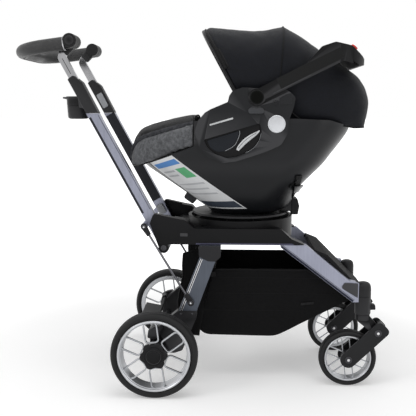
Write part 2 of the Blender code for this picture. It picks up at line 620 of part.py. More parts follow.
sleeve_side = rounded([(*along_rail(RAIL_LENGTH + up, off), radius) for up, off, radius in
                       ((0.0073, -0.015, 0.0), (-0.0092, 0.0172, 0.0), (0.0426, 0.0178, 0.0),
                        (0.0909, 0.0189, 0.012), (0.1209, 0.0054, 0.006),
                        (0.1184, -0.015, 0.003))])
bore_half = TUBE_WIDTH / 2 + GAP
bore_side = [along_rail(RAIL_LENGTH + up, off) for up, off in
             ((SLEEVE_BORE_FLOOR, -bore_half), (SLEEVE_BORE_FLOOR, bore_half),
              (0.20, bore_half), (0.20, -bore_half))]
sleeve = cut(prism(sleeve_side, -UPRIGHT_Y - SLEEVE_THICK / 2, -UPRIGHT_Y + SLEEVE_THICK / 2),
             prism(bore_side, -UPRIGHT_Y - TUBE_THICK / 2 - GAP,
                   -UPRIGHT_Y + TUBE_THICK / 2 + GAP))
both_sides("rail_sleeve", sleeve, SATIN_BLACK, fold_axis)

slider_side = rounded([(*along_rail(up, off), 0.004) for up, off in
                       ((0.066, -0.014), (0.066, 0.010), (0.100, 0.010), (0.100, -0.014))])
slider_at = along_rail(0.083, 0)
both_sides("fold_slider", prism(slider_side, rail_high + GAP, rail_high + 0.0115), SILVER,
           (slider_at.x, -UPRIGHT_Y, slider_at.y))

# Cup holder on the inner face of the right-hand sleeve
cup_axis = (CUP_X, CUP_Y, 0)
cup = stacked([(CUP_BOTTOM_R - 0.006, CUP_BOTTOM), (CUP_BOTTOM_R, CUP_BOTTOM + 0.006),
               (CUP_TOP_R - 0.002, CUP_TOP - 0.010), (CUP_TOP_R, CUP_TOP - 0.008),
               (CUP_TOP_R, CUP_TOP)], cup_axis, 20)
saddle_pad = prism(rounded([(-0.233, 0.834), (-0.205, 0.828), (-0.212, 0.866), (-0.236, 0.866)],
                           0.003), -UPRIGHT_Y + SLEEVE_THICK / 2 + GAP, -0.098)
cup_inside = stacked([(CUP_BOTTOM_R - CUP_WALL, CUP_BOTTOM + 0.004),
                      (CUP_TOP_R - CUP_WALL, CUP_TOP + 0.02)], cup_axis, 20)
part("cup_holder", cut(joined(cup, saddle_pad), cup_inside), BLACK)

# Link rods from the uprights to the rear legs
rod_run = (LINK_TOP - LINK_FOOT).normalized()
rod_y = -(LINK_INNER + LINK_OUTER) / 2
rod = [LINK_FOOT + rod_run * 0.004, LINK_TOP - rod_run * 0.004]
link = joined(swept([(end.x, rod_y, end.y) for end in rod], circle((0, 0), LINK_ROD_R, 8),
                    (0, 1, 0)),
              *[stacked([(LINK_EYE_R, -LINK_OUTER), (LINK_EYE_R, -LINK_INNER)],
                        (end.x, 0, end.y), 12, "Y") for end in (LINK_FOOT, LINK_TOP)])
both_sides("link_rod", link, CHROME, (LINK_FOOT.x, 0, LINK_FOOT.y))

# Telescoping handle tubes, knuckles and the tilting grip
elbow = along_rail(RAIL_LENGTH + TUBE_ELBOW, 0)
tube_outline = band([along_rail(RAIL_LENGTH + TUBE_FOOT, 0), elbow, HANDLE_PIVOT], TUBE_WIDTH / 2)
tube_side = rounded([(*point, radius) for point, radius in
                     zip(tube_outline, (0, 0.026, 0, 0, 0.004, 0))], steps=5)
knuckle_at = (HANDLE_PIVOT.x, 0, HANDLE_PIVOT.y)
tube = cut(prism(tube_side, -UPRIGHT_Y - TUBE_THICK / 2, -UPRIGHT_Y + TUBE_THICK / 2),
           stacked([(KNUCKLE_R + GAP, -0.2), (KNUCKLE_R + GAP, -0.05)], knuckle_at, 20, "Y"))
both_sides("handle_tube", tube, CHROME)
both_sides("handle_knuckle", stacked([(KNUCKLE_R, -KNUCKLE_SPLIT), (KNUCKLE_R, -KNUCKLE_INNER)],
                                     knuckle_at, 20, "Y"), BLACK)

grip_run = Vector((-math.cos(GRIP_DROP), 0, -math.sin(GRIP_DROP)))
grip_normal = Vector((-math.sin(GRIP_DROP), 0, math.cos(GRIP_DROP)))
arm_root = Vector((HANDLE_PIVOT.x, -GRIP_Y, ARM_AXIS_Z))
stub_end = arm_root + grip_run * ((HANDLE_PIVOT.x - GRIP_START_X) / math.cos(GRIP_DROP))
stub = swept([arm_root, stub_end], circle((0, 0), 0.0165, 12), grip_normal)
knuckle = stacked([(KNUCKLE_R, -KNUCKLE_OUTER), (KNUCKLE_R, -KNUCKLE_SPLIT - GAP)],
                  knuckle_at, 20, "Y")
both_sides("handle_end", joined(knuckle, stub), BLACK, (HANDLE_PIVOT.x, -GRIP_Y, HANDLE_PIVOT.y))

grip_path = [stub_end + grip_run * GAP * 12]
back = (HANDLE_PIVOT.x - GRIP_BACK_X) / math.cos(GRIP_DROP)
for step in range(7):
    angle = math.pi / 2 * step / 6
    run = back - GRIP_CORNER_R + GRIP_CORNER_R * math.sin(angle)
    aside = GRIP_Y - GRIP_CORNER_R + GRIP_CORNER_R * math.cos(angle)
    grip_path.append(Vector((arm_root.x, -aside, arm_root.z)) + grip_run * run)
grip_path[0] = stub_end + grip_run * GAP
grip_path += [Vector((point.x, -point.y, point.z)) for point in reversed(grip_path)]
part("handlebar_grip", swept(grip_path, circle((0, 0), GRIP_R, 12), grip_normal), LEATHER,
     knuckle_at)

# Turntable that the carrier docks on, with its lock at the head end
dock = stacked([(DRUM_R, spider_top + GAP), (DRUM_R, DOCK_TOP - 0.010),
                (DOCK_R, DOCK_TOP - DOCK_EDGE), (DOCK_R, DOCK_TOP)], hub_centre, 28)
lock = prism(rounded([(0.330, DOCK_TOP), (0.392, DOCK_TOP), (0.397, 0.500), (0.396, 0.4905),
                      (0.384, 0.4900), (0.340, 0.507)], 0.002, 2), -0.036, 0.036)
part("seat_turntable", joined(dock, lock), SATIN_BLACK, (HUB_X, 0, DOCK_TOP))

# Seat shell: boat-shaped levels of (height, foot end, head end, half width, corner radii)
LEVELS = ((DOCK_TOP + GAP, 0.158, 0.345, 0.105, 0.075, 0.075),
          (0.527, 0.148, 0.385, 0.120, 0.085, 0.090),
          (0.545, 0.1234, 0.402, 0.138, 0.100, 0.100),
          (0.590, 0.0621, 0.421, 0.172, 0.125, 0.110),
          (0.630, 0.0075, 0.454, 0.196, 0.135, 0.115),
          (0.667, -0.043, 0.490, 0.2060, 0.140, 0.120),
          (0.700, -0.060, 0.515, SHELL_SIDE, 0.145, 0.120),
          (0.744, -0.066, 0.548, SHELL_SIDE, 0.145, 0.120),
          (0.779, -0.062, 0.567, SHELL_SIDE, 0.145, 0.120),
          (0.840, -0.062, 0.576, SHELL_SIDE, 0.145, 0.120))


def boat(z, low, high, side, nose, tail):
    outline = rounded([(low, -side, nose), (high, -side, tail), (high, side, tail),
                       (low, side, nose)], steps=5)
    return [(x, y, z) for x, y in outline]


inside = [(z if index else z + SHELL_WALL + 0.002, low + SHELL_WALL * 1.7, high - SHELL_WALL * 1.4,
           side - SHELL_WALL, nose - SHELL_WALL, tail - SHELL_WALL)
          for index, (z, low, high, side, nose, tail) in enumerate(LEVELS) if index != 1]
above_rim = [(-0.120, 0.6369), (0.1135, 0.7250), (0.1142, 0.795), (0.160, 0.8027),
             (0.398, 0.8027), (0.427, 0.8015), (0.496, 0.7985), (0.573, 0.7765), (0.650, 0.755),
             (0.650, 0.90), (-0.120, 0.90)]
latch_mount = prism([(0.370, DOCK_TOP + GAP), (0.4065, DOCK_TOP + GAP), (0.4065, 0.555),
                     (0.412, 0.570), (0.380, 0.570)], -0.035, 0.035)
shell = joined(lofted([boat(*level) for level in LEVELS]), latch_mount)
part("seat_shell", cut(shell, lofted([boat(*level) for level in inside]),
                       prism(above_rim, -0.3, 0.3)), BLACK)

# Buttons of the base: foot-end release on the sloping underside, head-end pull handle
slope = Vector((-0.191, 0.140)).normalized()
below = Vector((-slope.y, slope.x))
release_at = Vector((0.098, 0.5637))
release_side = rounded([(*(release_at + slope * run + below * drop), radius)
                        for run, drop, radius in ((-0.020, 0.0008, 0.0), (0.020, 0.0008, 0.0),
                                                  (0.018, 0.0240, 0.006),
                                                  (-0.018, 0.0240, 0.006))])
part("release_button", prism(release_side, -0.027, 0.027), GREY_PLASTIC,
     (release_at.x, 0, release_at.y))
knob_side = rounded([(0.4065 + GAP, 0.503), (0.428, 0.503), (0.432, 0.530), (0.426, 0.553),
                     (0.4065 + GAP, 0.553)], 0.003)
part("recline_knob", prism(knob_side, -0.028, 0.028), GREY_PLASTIC, (0.4175, 0, 0.528))

# Side panels with the handle's bearings, and the oval buttons in them
lobe = [(0.398, 0.862, 0.012), (0.372, 0.884, 0.010), (0.250, 0.889, 0.012),
        (0.207, 0.881, 0.010), (0.194, 0.862, 0.008)]
face_side = rounded([(0.120, 0.724, 0.010), (0.216, 0.681, 0.020), (0.350, 0.716, 0.020),
                     (0.372, 0.742, 0.010), (0.396, 0.800, 0.020), *lobe, (0.160, 0.850, 0.012),
                     (0.122, 0.790, 0.012)], steps=3)
back_side = rounded([(0.150, 0.8032), (0.397, 0.8032), *lobe, (0.160, 0.848, 0.010)])
pocket_side = rounded([(0.142, 0.772, 0.012), (0.150, 0.730, 0.020), (0.218, 0.700, 0.030),
                       (0.288, 0.716, 0.024), (0.301, 0.762, 0.024), (0.270, 0.791, 0.014),
                       (0.160, 0.791, 0.012)], steps=4)
arm_slope = math.radians(26.1)
arm_way = Vector((math.cos(arm_slope), math.sin(arm_slope)))
arm_square = Vector((-arm_way.y, arm_way.x))
bearing_r = CARRY_HUB_R + 0.0005
bearing_floor = -CARRY_ARM_INNER + GAP
carry_axis = (CARRY_PIVOT.x, 0, CARRY_PIVOT.y)
hub_seat = stacked([(bearing_r, -0.24), (bearing_r, bearing_floor)], carry_axis, 20, "Y")
clear_low = CARRY_PIVOT - arm_square * bearing_r
sweep_side = [clear_low, clear_low + arm_way * 0.16, clear_low + arm_way * 0.16 + Vector((0, 0.1)),
              CARRY_PIVOT + Vector((-bearing_r, 0.1)), CARRY_PIVOT + Vector((-bearing_r, 0))]
oval_side = rounded([(0.266, 0.8165), (0.310, 0.8165), (0.310, 0.8325), (0.266, 0.8325)],
                    0.0078, 4)
oval_seat = rounded([(0.2655, 0.8160), (0.3105, 0.8160), (0.3105, 0.8330), (0.2655, 0.8330)],
                    0.0082, 4)
panel = joined(prism(face_side, -PANEL_FACE, -SHELL_SIDE - GAP),
               prism(back_side, -SHELL_SIDE - 0.002, -PANEL_INNER))
panel = cut(panel, prism(pocket_side, -0.24, -PANEL_FACE + PANEL_POCKET), hub_seat,
            prism(sweep_side, -0.24, bearing_floor),
            prism(oval_seat, -0.24, bearing_floor + 0.0007))
both_sides("side_panel", panel, SATIN_BLACK)
both_sides("handle_side_button", prism(oval_side, -PANEL_FACE - 0.002,
                                       -CARRY_ARM_INNER - BUTTON_TRAVEL), GREY_PLASTIC,
           (0.288, -PANEL_FACE, 0.8245))

# Carry handle: two arms on the bearings and a cross bar that clears the canopy
arm_half = 0.0195
arm_start = CARRY_PIVOT + arm_square * 0.004
arms_side = rounded([(*(arm_start + arm_square * arm_half + arm_way * 0.165), 0.030),
                     (0.467, 1.000, 0.010), (0.504, 1.012, 0.014), (0.552, 1.002, 0.020),
                     (0.598, 0.967, 0.010), (0.596, 0.954, 0.005), (0.570, 0.951, 0.006),
                     (*(arm_start - arm_square * arm_half + arm_way * 0.255), 0.020),
                     (*(CARRY_PIVOT - arm_square * 0.0155), 0.0),
                     (*(CARRY_PIVOT - arm_way * 0.004 + arm_square * 0.0195), 0.0)], steps=4)
carry_parts = []
for sign in (-1, 1):
    faces = (sign * CARRY_ARM_INNER, sign * CARRY_ARM_OUTER)
    carry_parts.append(stacked([(CARRY_HUB_R, face) for face in faces], carry_axis, 20, "Y"))
    carry_parts.append(prism(arms_side, *faces))
bar_side = rounded([(0.503, 0.9955), (0.5765, 0.9485), (0.594, 0.951), (0.597, 0.967),
                    (0.552, 1.001), (0.514, 1.011)], 0.006)
press = Vector((0.616, 0, 0.788)).normalized()
button_at = Vector((0.558, -0.176, 0.9965))
button_seat = swept([button_at + press * 0.02, button_at - press * 0.008],
                    circle((0, 0), 0.0105, 14), (0, 1, 0))
carry = joined(prism(bar_side, -CARRY_ARM_INNER - 0.001, CARRY_ARM_INNER + 0.001), *carry_parts)
corner_cuts = []
for sign in (-1, 1):
    turns = [math.radians(angle) for angle in (86, 72, 58, 44, 30, 15, 0)]
    corner = [(CARRY_CORNER.x + CARRY_CORNER_R * math.cos(turn),
               sign * (CARRY_CORNER.y + CARRY_CORNER_R * math.sin(turn))) for turn in turns]
    corner += [(0.63, sign * CARRY_CORNER.y), (0.63, sign * 0.24), (corner[0][0], sign * 0.24)]
    corner_cuts.append(lofted([[(x, y, z) for x, y in corner] for z in (0.93, 1.04)]))
part("carry_handle", cut(carry, button_seat, *corner_cuts), BLACK, carry_axis)
part("ring_button", swept([button_at + press * 0.0045, button_at - press * 0.0045],
                          circle((0, 0), 0.010, 14), (0, 1, 0)), CORAL, button_at)

# Canopy: fixed cloth over the head, folding cloth in front of its seam, and the bow
REAR_HOOPS = (((0.3517, 0.9117), (0.3692, 1.0712), CANOPY_SIDE),
              ((0.370, 0.869), (0.425, 1.040), CANOPY_SIDE),
              ((0.388, 0.827), (0.480, 1.001), CANOPY_SIDE),
              ((0.427, 0.807), (0.572, 0.942), 0.191),
              ((0.480, 0.804), (0.607, 0.905), 0.184), ((0.535, 0.794), (0.625, 0.850), 0.166),
              ((0.573, 0.783), (0.614, 0.779), 0.142))
FRONT_HOOPS = (((0.2345, 0.888), (0.1405, 1.0615)), ((0.2405, 0.8905), (0.158, 1.069)),
               ((0.266, 0.896), (0.215, 1.064)), ((0.300, 0.902), (0.295, 1.059)),
               ((0.330, 0.908), (0.338, 1.065)), ((0.3512, 0.912), (0.3685, 1.071)))


def hood(hoops):
    """Cloth of constant thickness over a row of hoops."""
    return lofted([arch(foot, crown, side) + arch(foot, crown, side, inset=CANOPY_CLOTH)[::-1]
                   for foot, crown, side in hoops])


part("canopy_rear", hood(REAR_HOOPS), CANVAS)
part("canopy_front", hood([(foot, crown, CANOPY_SIDE) for foot, crown in FRONT_HOOPS]), CANVAS)
bow_up = (BOW_CROWN - BOW_PIVOT).normalized()
bow_axis = (BOW_PIVOT.x, 0, BOW_PIVOT.y)
bow_ends = [stacked([(0.009, sign * (BOW_SIDE - 0.011)), (0.009, sign * (PANEL_INNER - GAP))],
                    bow_axis, 12, "Y") for sign in (-1, 1)]
bow = joined(swept(arch(BOW_PIVOT, BOW_CROWN, BOW_SIDE), circle((0, 0), BOW_R, 8),
                   (-bow_up.y, 0, bow_up.x)), *bow_ends)
part("canopy_bow", bow, BLACK, bow_axis)

# Foot cover: a hollow cloth mound on the shell's foot-end rim, open below and towards the hip
COVER = ((-0.083, 0.660, 0.700, 0.070), (-0.076, 0.6615, 0.728, 0.098),
         (-0.066, 0.663, 0.750, 0.119), (-0.050, 0.665, 0.769, 0.139),
         (-0.010, 0.6795, 0.784, 0.169), (0.040, 0.698, 0.797, 0.190), (0.113, 0.726, 0.812, 0.206))


def cover_arch(x, low, top, side):
    return arch((x, low), (x, top), side, 0.5, 14)


cover_outer = lofted([cover_arch(*section) for section in COVER])
cover_inner = lofted([cover_arch(x + (COVER_WALL if index < 3 else 0.0), low - 0.05,
                                 top - COVER_WALL, side - COVER_WALL)
                      for index, (x, low, top, side) in enumerate(COVER) if index > 0]
                     + [cover_arch(0.140, 0.680, 0.805, 0.197)])
under = prism([(-0.120, 0.6379), (0.1130, 0.7257), (0.160, 0.7257), (0.160, 0.60), (-0.120, 0.60)],
              -0.3, 0.3)
part("foot_cover", cut(cover_outer, cover_inner, under), MELANGE)

# Seat pad lying in the shell: its thickness swells between sewn channels
PAD_LINE = [Vector(point) for point in ((-0.012, 0.6800), (0.060, 0.6270), (0.150, 0.5620),
                                        (0.198, 0.5270), (0.250, 0.5270), (0.306, 0.5270),
                                        (0.372, 0.5500), (0.412, 0.6150), (0.452, 0.6650),
                                        (0.496, 0.7150), (0.525, 0.7600))]
pad_rings = []
for step in range(13):
    spread = -1 + step / 6
    below_row, above_row = [], []
    for index, point in enumerate(PAD_LINE):
        ahead = PAD_LINE[min(index + 1, len(PAD_LINE) - 1)] - PAD_LINE[max(index - 1, 0)]
        lift = Vector((-ahead.y, ahead.x)).normalized()
        crown = (1 - spread ** 4) * (0.78 + 0.22 * math.cos(3 * math.pi * spread))
        ends = 0.45 if index in (0, len(PAD_LINE) - 1) else 1 - 0.18 * (index % 2)
        drawn = PAD_HALF_WIDTH * (1 - 0.05 * math.sin(math.pi * index / (len(PAD_LINE) - 1)))
        below_row.append((point.x, spread * drawn, point.y))
        top = point + lift * (0.005 + PAD_THICK * crown * ends)
        above_row.append((top.x, spread * drawn, top.y))
    pad_rings.append(below_row + above_row[::-1])
part("seat_pad", lofted(pad_rings), PADDING)

# Centre the whole over its footprint
spans = [piece.location.x + vertex.co.x for piece in stroller.children
         for vertex in piece.data.vertices]
stroller.location.x = -(min(spans) + max(spans)) / 2
bpy.context.view_layer.update()
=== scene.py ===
"""Stroller with an infant carrier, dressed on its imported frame.

The sections follow the way it is put together: wheels, casters, chassis, basket, uprights,
handle, carrier, hood and foot cover. Every piece is measured in metres from the rear axle
(x = 0, +X to the front wheels) and the floor (z = 0); `AXLE_X` is where that axle lies.
A name that ends in _ stands for the left and the right one.
"""
import json
import math

import bmesh
import bpy
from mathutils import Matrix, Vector, noise
from mathutils.bvhtree import BVHTree

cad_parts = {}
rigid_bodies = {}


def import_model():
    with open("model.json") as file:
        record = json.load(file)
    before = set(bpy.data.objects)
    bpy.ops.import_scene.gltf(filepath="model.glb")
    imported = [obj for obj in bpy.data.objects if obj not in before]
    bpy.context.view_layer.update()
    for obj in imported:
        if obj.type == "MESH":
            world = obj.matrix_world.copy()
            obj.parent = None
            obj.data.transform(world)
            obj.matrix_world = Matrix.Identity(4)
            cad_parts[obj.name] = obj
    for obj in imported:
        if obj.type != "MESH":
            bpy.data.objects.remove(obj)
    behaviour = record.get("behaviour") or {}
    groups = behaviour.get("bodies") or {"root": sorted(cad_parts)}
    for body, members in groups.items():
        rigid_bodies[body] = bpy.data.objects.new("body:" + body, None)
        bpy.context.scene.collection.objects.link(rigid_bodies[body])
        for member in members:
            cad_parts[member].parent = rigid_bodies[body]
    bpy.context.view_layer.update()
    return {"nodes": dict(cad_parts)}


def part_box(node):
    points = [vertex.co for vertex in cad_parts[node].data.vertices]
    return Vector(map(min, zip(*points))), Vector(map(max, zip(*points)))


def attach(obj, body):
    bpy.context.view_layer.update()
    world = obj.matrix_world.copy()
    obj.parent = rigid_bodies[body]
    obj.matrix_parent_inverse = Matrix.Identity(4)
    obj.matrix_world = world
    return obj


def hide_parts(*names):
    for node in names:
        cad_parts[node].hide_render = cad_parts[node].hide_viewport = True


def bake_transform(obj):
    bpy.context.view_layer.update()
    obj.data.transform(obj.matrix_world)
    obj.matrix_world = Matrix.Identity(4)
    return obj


for leftover in list(bpy.data.objects):
    bpy.data.objects.remove(leftover, do_unlink=True)
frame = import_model()
AXLE_X = sum(corner.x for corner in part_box("rear_tyre_right")) / 2
SIDES = (("left", 1), ("right", -1))


# Studio: a pale floor that runs out to white, one soft lamp overhead, one from the side of the
# handlebar and one low in front, and a plain white surround.
def linked(name, data):
    """New object in the scene."""
    made = bpy.data.objects.new(name, data)
    bpy.context.collection.objects.link(made)
    return made


def place(tree, kind, feeds=None, out=0, **settings):
    """One shader node with its settings and inputs; returns one of its outputs."""
    node = tree.nodes.new("ShaderNode" + kind)
    for key, value in settings.items():
        setattr(node, key, value)
    for key, value in (feeds or {}).items():
        if isinstance(value, bpy.types.NodeSocket):
            tree.links.new(value, node.inputs[key])
        else:
            node.inputs[key].default_value = value
    return node.outputs[out]


def maths(tree, how, *values):
    return place(tree, "Math", dict(enumerate(values)), operation=how)


def ranged(tree, value, low, high, to_low, to_high, **how):
    """A number taken from one range to another."""
    return place(tree, "MapRange", {"Value": value, "From Min": low, "From Max": high,
                                    "To Min": to_low, "To Max": to_high}, **how)


def seen_directly(tree):
    """1 for what the camera, a mirror or a glass sees, 0 for what lights the surfaces."""
    path = tree.nodes.new("ShaderNodeLightPath").outputs
    seen = maths(tree, "MAXIMUM", path["Is Camera Ray"], path["Is Glossy Ray"])
    return maths(tree, "MAXIMUM", seen, path["Is Transmission Ray"])


view = linked("camera", bpy.data.cameras.new("camera"))
view.location = (0.2283 + AXLE_X, -2.0893, 0.8274)
view.rotation_euler = (math.pi / 2 - 0.1469, 0, 0.0397)
view.data.lens, view.data.sensor_width = 57.44, 36
bpy.context.scene.camera = view
bpy.context.scene.view_settings.view_transform = "Standard"

surround = bpy.data.worlds.new("white surround")
bpy.context.scene.world = surround
surround.use_nodes = True
tree = surround.node_tree
sky = tree.nodes["Background"].inputs
tree.links.new(ranged(tree, seen_directly(tree), 0, 1, 0.50, 1.0), sky["Strength"])
sky["Color"].default_value = (1, 1, 1, 1)

floor_finish = bpy.data.materials.new("pale floor")
floor_finish.use_nodes = True
tree = floor_finish.node_tree
shader = tree.nodes["Principled BSDF"]
shader.inputs["Base Color"].default_value = (0.86, 0.86, 0.86, 1)
shader.inputs["Roughness"].default_value = 0.9
shader.inputs["Specular IOR Level"].default_value = 0.0
away = place(tree, "VectorMath", {0: place(tree, "TexCoord", out="Object")}, 1, operation="LENGTH")
ramp = ranged(tree, away, 0.7, 1.8, 0.30, 1.0, interpolation_type="SMOOTHSTEP")
glow = place(tree, "Emission", {"Color": (1, 1, 1, 1),
                                "Strength": maths(tree, "MULTIPLY", seen_directly(tree), ramp)})
lit = place(tree, "AddShader", {0: shader.outputs[0], 1: glow})
tree.links.new(lit, tree.nodes["Material Output"].inputs["Surface"])
floor_mesh = bpy.data.meshes.new("floor")
floor_mesh.from_pydata([(-30, -30, 0), (30, -30, 0), (30, 60, 0), (-30, 60, 0)], [], [(0, 1, 2, 3)])
floor_mesh.materials.append(floor_finish)
linked("floor", floor_mesh)

LAMPS = (("overhead", (0.3, -0.3, 2.9), (0.0, 0.0, 0.4), 2.2, 26),
         ("handle_side", (-2.2, -1.6, 1.9), (0.0, 0.0, 0.6), 1.4, 17),
         ("front_low", (1.9, -2.2, 1.2), (0.1, 0.0, 0.5), 1.2, 9))
for name, spot, aim, size, power in LAMPS:
    lamp = linked(name, bpy.data.lights.new(name, "AREA"))
    lamp.data.shape, lamp.data.size, lamp.data.energy = "DISK", size, power
    lamp.location = spot
    lamp.rotation_euler = (Vector(aim) - Vector(spot)).to_track_quat("-Z", "Y").to_euler()


# Tyres: foamed black rubber rings, smooth on the flanks, with a bead against the rim and three
# shallow grooves round the tread. They are pressed onto the rims, so they turn with them.
def effect(name, **given):
    """Node group with named inputs; returns its tree, its inputs and its three results."""
    tree = bpy.data.node_groups.new(name, "ShaderNodeTree")
    results = {"Color": (0, 0, 0), "Roughness": 0, "Height": 0}
    for way, sockets in (("INPUT", given), ("OUTPUT", results)):
        for label, value in sockets.items():
            coloured = isinstance(value, tuple)
            kind = "NodeSocketColor" if coloured else "NodeSocketFloat"
            made = tree.interface.new_socket(label, in_out=way, socket_type=kind)
            made.default_value = (*value, 1) if coloured else value
    return tree, tree.nodes.new("NodeGroupInput").outputs, tree.nodes.new("NodeGroupOutput").inputs


def give(tree, result, **found):
    for label, value in found.items():
        tree.links.new(value, result[label])


# Moulded grain: specks in the gloss, slow changes of tone, and paler edges, partly rubbed wear and partly
# a painted highlight
moulded, given, result = effect("moulded grain", Color=(0.02, 0.02, 0.02), Roughness=0.5, Grain=900.0,
                                Wear=0.3)
spot = place(moulded, "TexCoord", out="Object")
specks = place(moulded, "TexNoise", {"Vector": spot, "Scale": given["Grain"], "Detail": 2.0})
clouds = place(moulded, "TexNoise", {"Vector": spot, "Scale": 7.0, "Detail": 4.0})
tone = ranged(moulded, clouds, 0.3, 0.7, 0.82, 1.2)
toned = place(moulded, "HueSaturation", {"Value": tone, "Color": given["Color"]})
# Convex edges, found by pointiness, are mixed towards pale grey: partly rubbed wear, partly a painted
# highlight on the edges.
edge = ranged(moulded, place(moulded, "NewGeometry", out="Pointiness"), 0.52, 0.60, 0, 1)
rubbed_and_highlit = maths(moulded, "MULTIPLY", edge, given["Wear"])
gloss = maths(moulded, "ADD", ranged(moulded, clouds, 0.3, 0.7, -0.06, 0.06), given["Roughness"])
give(moulded, result, Height=specks,
     Color=place(moulded, "MixRGB", {"Fac": rubbed_and_highlit, "Color1": toned, "Color2": (0.22, 0.22, 0.23, 1)}),
     Roughness=maths(moulded, "ADD", gloss, ranged(moulded, specks, 0, 1, -0.08, 0.08)))


def material(name, effect_tree, values, bump, depth, **plain):
    """Material whose colour, gloss and relief come from an effect; the rest is plain."""
    made = bpy.data.materials.new(name)
    made.use_nodes = True
    tree = made.node_tree
    shader = tree.nodes["Principled BSDF"].inputs
    group = tree.nodes.new("ShaderNodeGroup")
    group.node_tree = effect_tree
    found = group.outputs
    for key, value in values.items():
        group.inputs[key].default_value = (*value, 1) if isinstance(value, tuple) else value
    tree.links.new(found["Color"], shader["Base Color"])
    give(tree, shader, Roughness=found["Roughness"],
         Normal=place(tree, "Bump", {"Strength": bump, "Distance": depth, "Height": found["Height"]}))
    for key, value in {"Specular_IOR_Level": 0.14, **plain}.items():
        shader[key.replace("_", " ")].default_value = value
    return made


def circle(radius, steps):
    return [(radius * math.cos(math.tau * k / steps), radius * math.sin(math.tau * k / steps))
            for k in range(steps)]


def rings(rows, loop=True, closed=False, caps=True):
    """Skin over rows of points. loop joins each row's ends, closed the last row to the first."""
    shape = bmesh.new()
    grid = [[shape.verts.new(point) for point in row] for row in rows]
    for low, high in list(zip(grid, grid[1:])) + ([(grid[-1], grid[0])] if closed else []):
        for index in range(0 if loop else 1, len(low)):
            shape.faces.new((low[index - 1], low[index], high[index], high[index - 1]))
    if caps and loop and not closed:
        shape.faces.new(grid[0])
        shape.faces.new(grid[-1][::-1])
    bmesh.ops.recalc_face_normals(shape, faces=shape.faces)
    return shape


def lathe(profile, centre, steps=64, sign=1, upright=False, closed=False):
    """(radius, distance) pairs turned round an axis across the stroller, or round an upright one."""
    centre = Vector(centre)
    return rings([[centre + Vector((a, b, sign * along) if upright else (a, sign * along, b))
                   for a, b in circle(radius, steps)] for radius, along in profile], closed=closed)


def merged(shapes):
    """Several shapes as one mesh."""
    whole = bmesh.new()
    for shape in shapes:
        mesh = bpy.data.meshes.new("part")
        shape.to_mesh(mesh)
        shape.free()
        whole.from_mesh(mesh)
        bpy.data.meshes.remove(mesh)
    return whole


def piece(name, shape, finish, body, stands_for=None, slot=None, crease=40, bevel=0.0, levels=0,
          thick=0.0):
    """Finished object from a shape measured from the rear axle, riding on a body."""
    bmesh.ops.translate(shape, vec=(AXLE_X, 0, 0), verts=shape.verts)
    mesh = bpy.data.meshes.new(name)
    shape.to_mesh(mesh)
    shape.free()
    mesh.shade_smooth()
    mesh.set_sharp_from_angle(angle=math.radians(crease))
    mesh.materials.append(finish)
    made = linked(name, mesh)
    if thick:
        solid = made.modifiers.new("thickness", "SOLIDIFY")
        solid.thickness, solid.offset = thick, -1
    if bevel:
        rounded(made, bevel)
    if levels:
        smooth = made.modifiers.new("smooth", "SUBSURF")
        smooth.levels = smooth.render_levels = levels
    if body:
        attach(made, body)
    if stands_for:
        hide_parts(stands_for)
    return made


def rounded(thing, width):
    """Rounded edges with even shading."""
    round_off = thing.modifiers.new("rounding", "BEVEL")
    round_off.width, round_off.segments = width, 3
    round_off.limit_method, round_off.angle_limit = "ANGLE", math.radians(32)
    thing.modifiers.new("normals", "WEIGHTED_NORMAL")


def pair(name, make, finish, body, stands_for=None, **look):
    """The same piece on both sides; make(sign) gives its shape, with +1 for the left."""
    return [piece(name + side, make(sign), finish, body + side if body.endswith("_") else body,
                  stands_for and stands_for + side, **look) for side, sign in SIDES]


rubber = material("tyre rubber", moulded, {"Color": (0.007, 0.007, 0.0075), "Roughness": 0.62,
                                           "Grain": 1400.0, "Wear": 0.12}, 0.25, 0.0004,
                  Specular_IOR_Level=0.3)
TYRE_HALF = ((0.00, 0.72), (0.10, 0.86), (0.19, 0.90), (0.23, 0.95), (0.27, 0.95), (0.31, 0.93),
             (0.36, 0.97), (0.50, 1.00), (0.62, 0.99), (0.72, 0.95), (0.82, 0.87), (0.90, 0.76),
             (0.955, 0.62), (0.98, 0.50), (0.985, 0.46), (0.92, 0.445), (0.92, 0.40), (0.995, 0.385),
             (1.00, 0.16), (0.93, 0.145), (0.93, 0.055), (1.00, 0.04))
WHEEL_AT = {"rear": (0.0, 0.259, 0.127), "front": (0.573, 0.148, 0.086)}


def hub_at(kind, sign):
    x, y, z = WHEEL_AT[kind]
    return Vector((x, sign * y, z))


for kind, seat, half in (("rear", 0.107, 0.022), ("front", 0.0705, 0.017)):
    section = [(seat + (WHEEL_AT[kind][2] - seat) * up, half * out) for up, out in TYRE_HALF]
    section += [(radius, -along) for radius, along in reversed(section)]
    pair(f"{kind}_tyre_rubber_", lambda sign: lathe(section, hub_at(kind, sign), 96, closed=True),
         rubber, f"{kind}_wheel_", f"{kind}_tyre_", slot="tyre_rubber")

# Rims: deep silver-painted rings. The bright lip stands at the outer face and the well falls away
# behind it. Six flat wire loops of bright metal run from the hub into the well.
drawn, given, result = effect("drawn metal", Color=(0.6, 0.6, 0.6), Roughness=0.3, Lines=400.0)
spot = place(drawn, "TexCoord", out="Object")
long_way = place(drawn, "VectorMath", {0: spot, 1: (1.0, 1.0, 0.05)}, operation="MULTIPLY")
streaks = place(drawn, "TexNoise", {"Vector": long_way, "Scale": given["Lines"], "Detail": 3.0})
clouds = place(drawn, "TexNoise", {"Vector": spot, "Scale": 11.0, "Detail": 5.0})
tone = ranged(drawn, streaks, 0.3, 0.7, 0.94, 1.06)
smudge = ranged(drawn, clouds, 0.35, 0.7, -0.05, 0.10)
give(drawn, result, Height=streaks,
     Color=place(drawn, "HueSaturation", {"Value": tone, "Color": given["Color"]}),
     Roughness=maths(drawn, "ADD", smudge, given["Roughness"]))


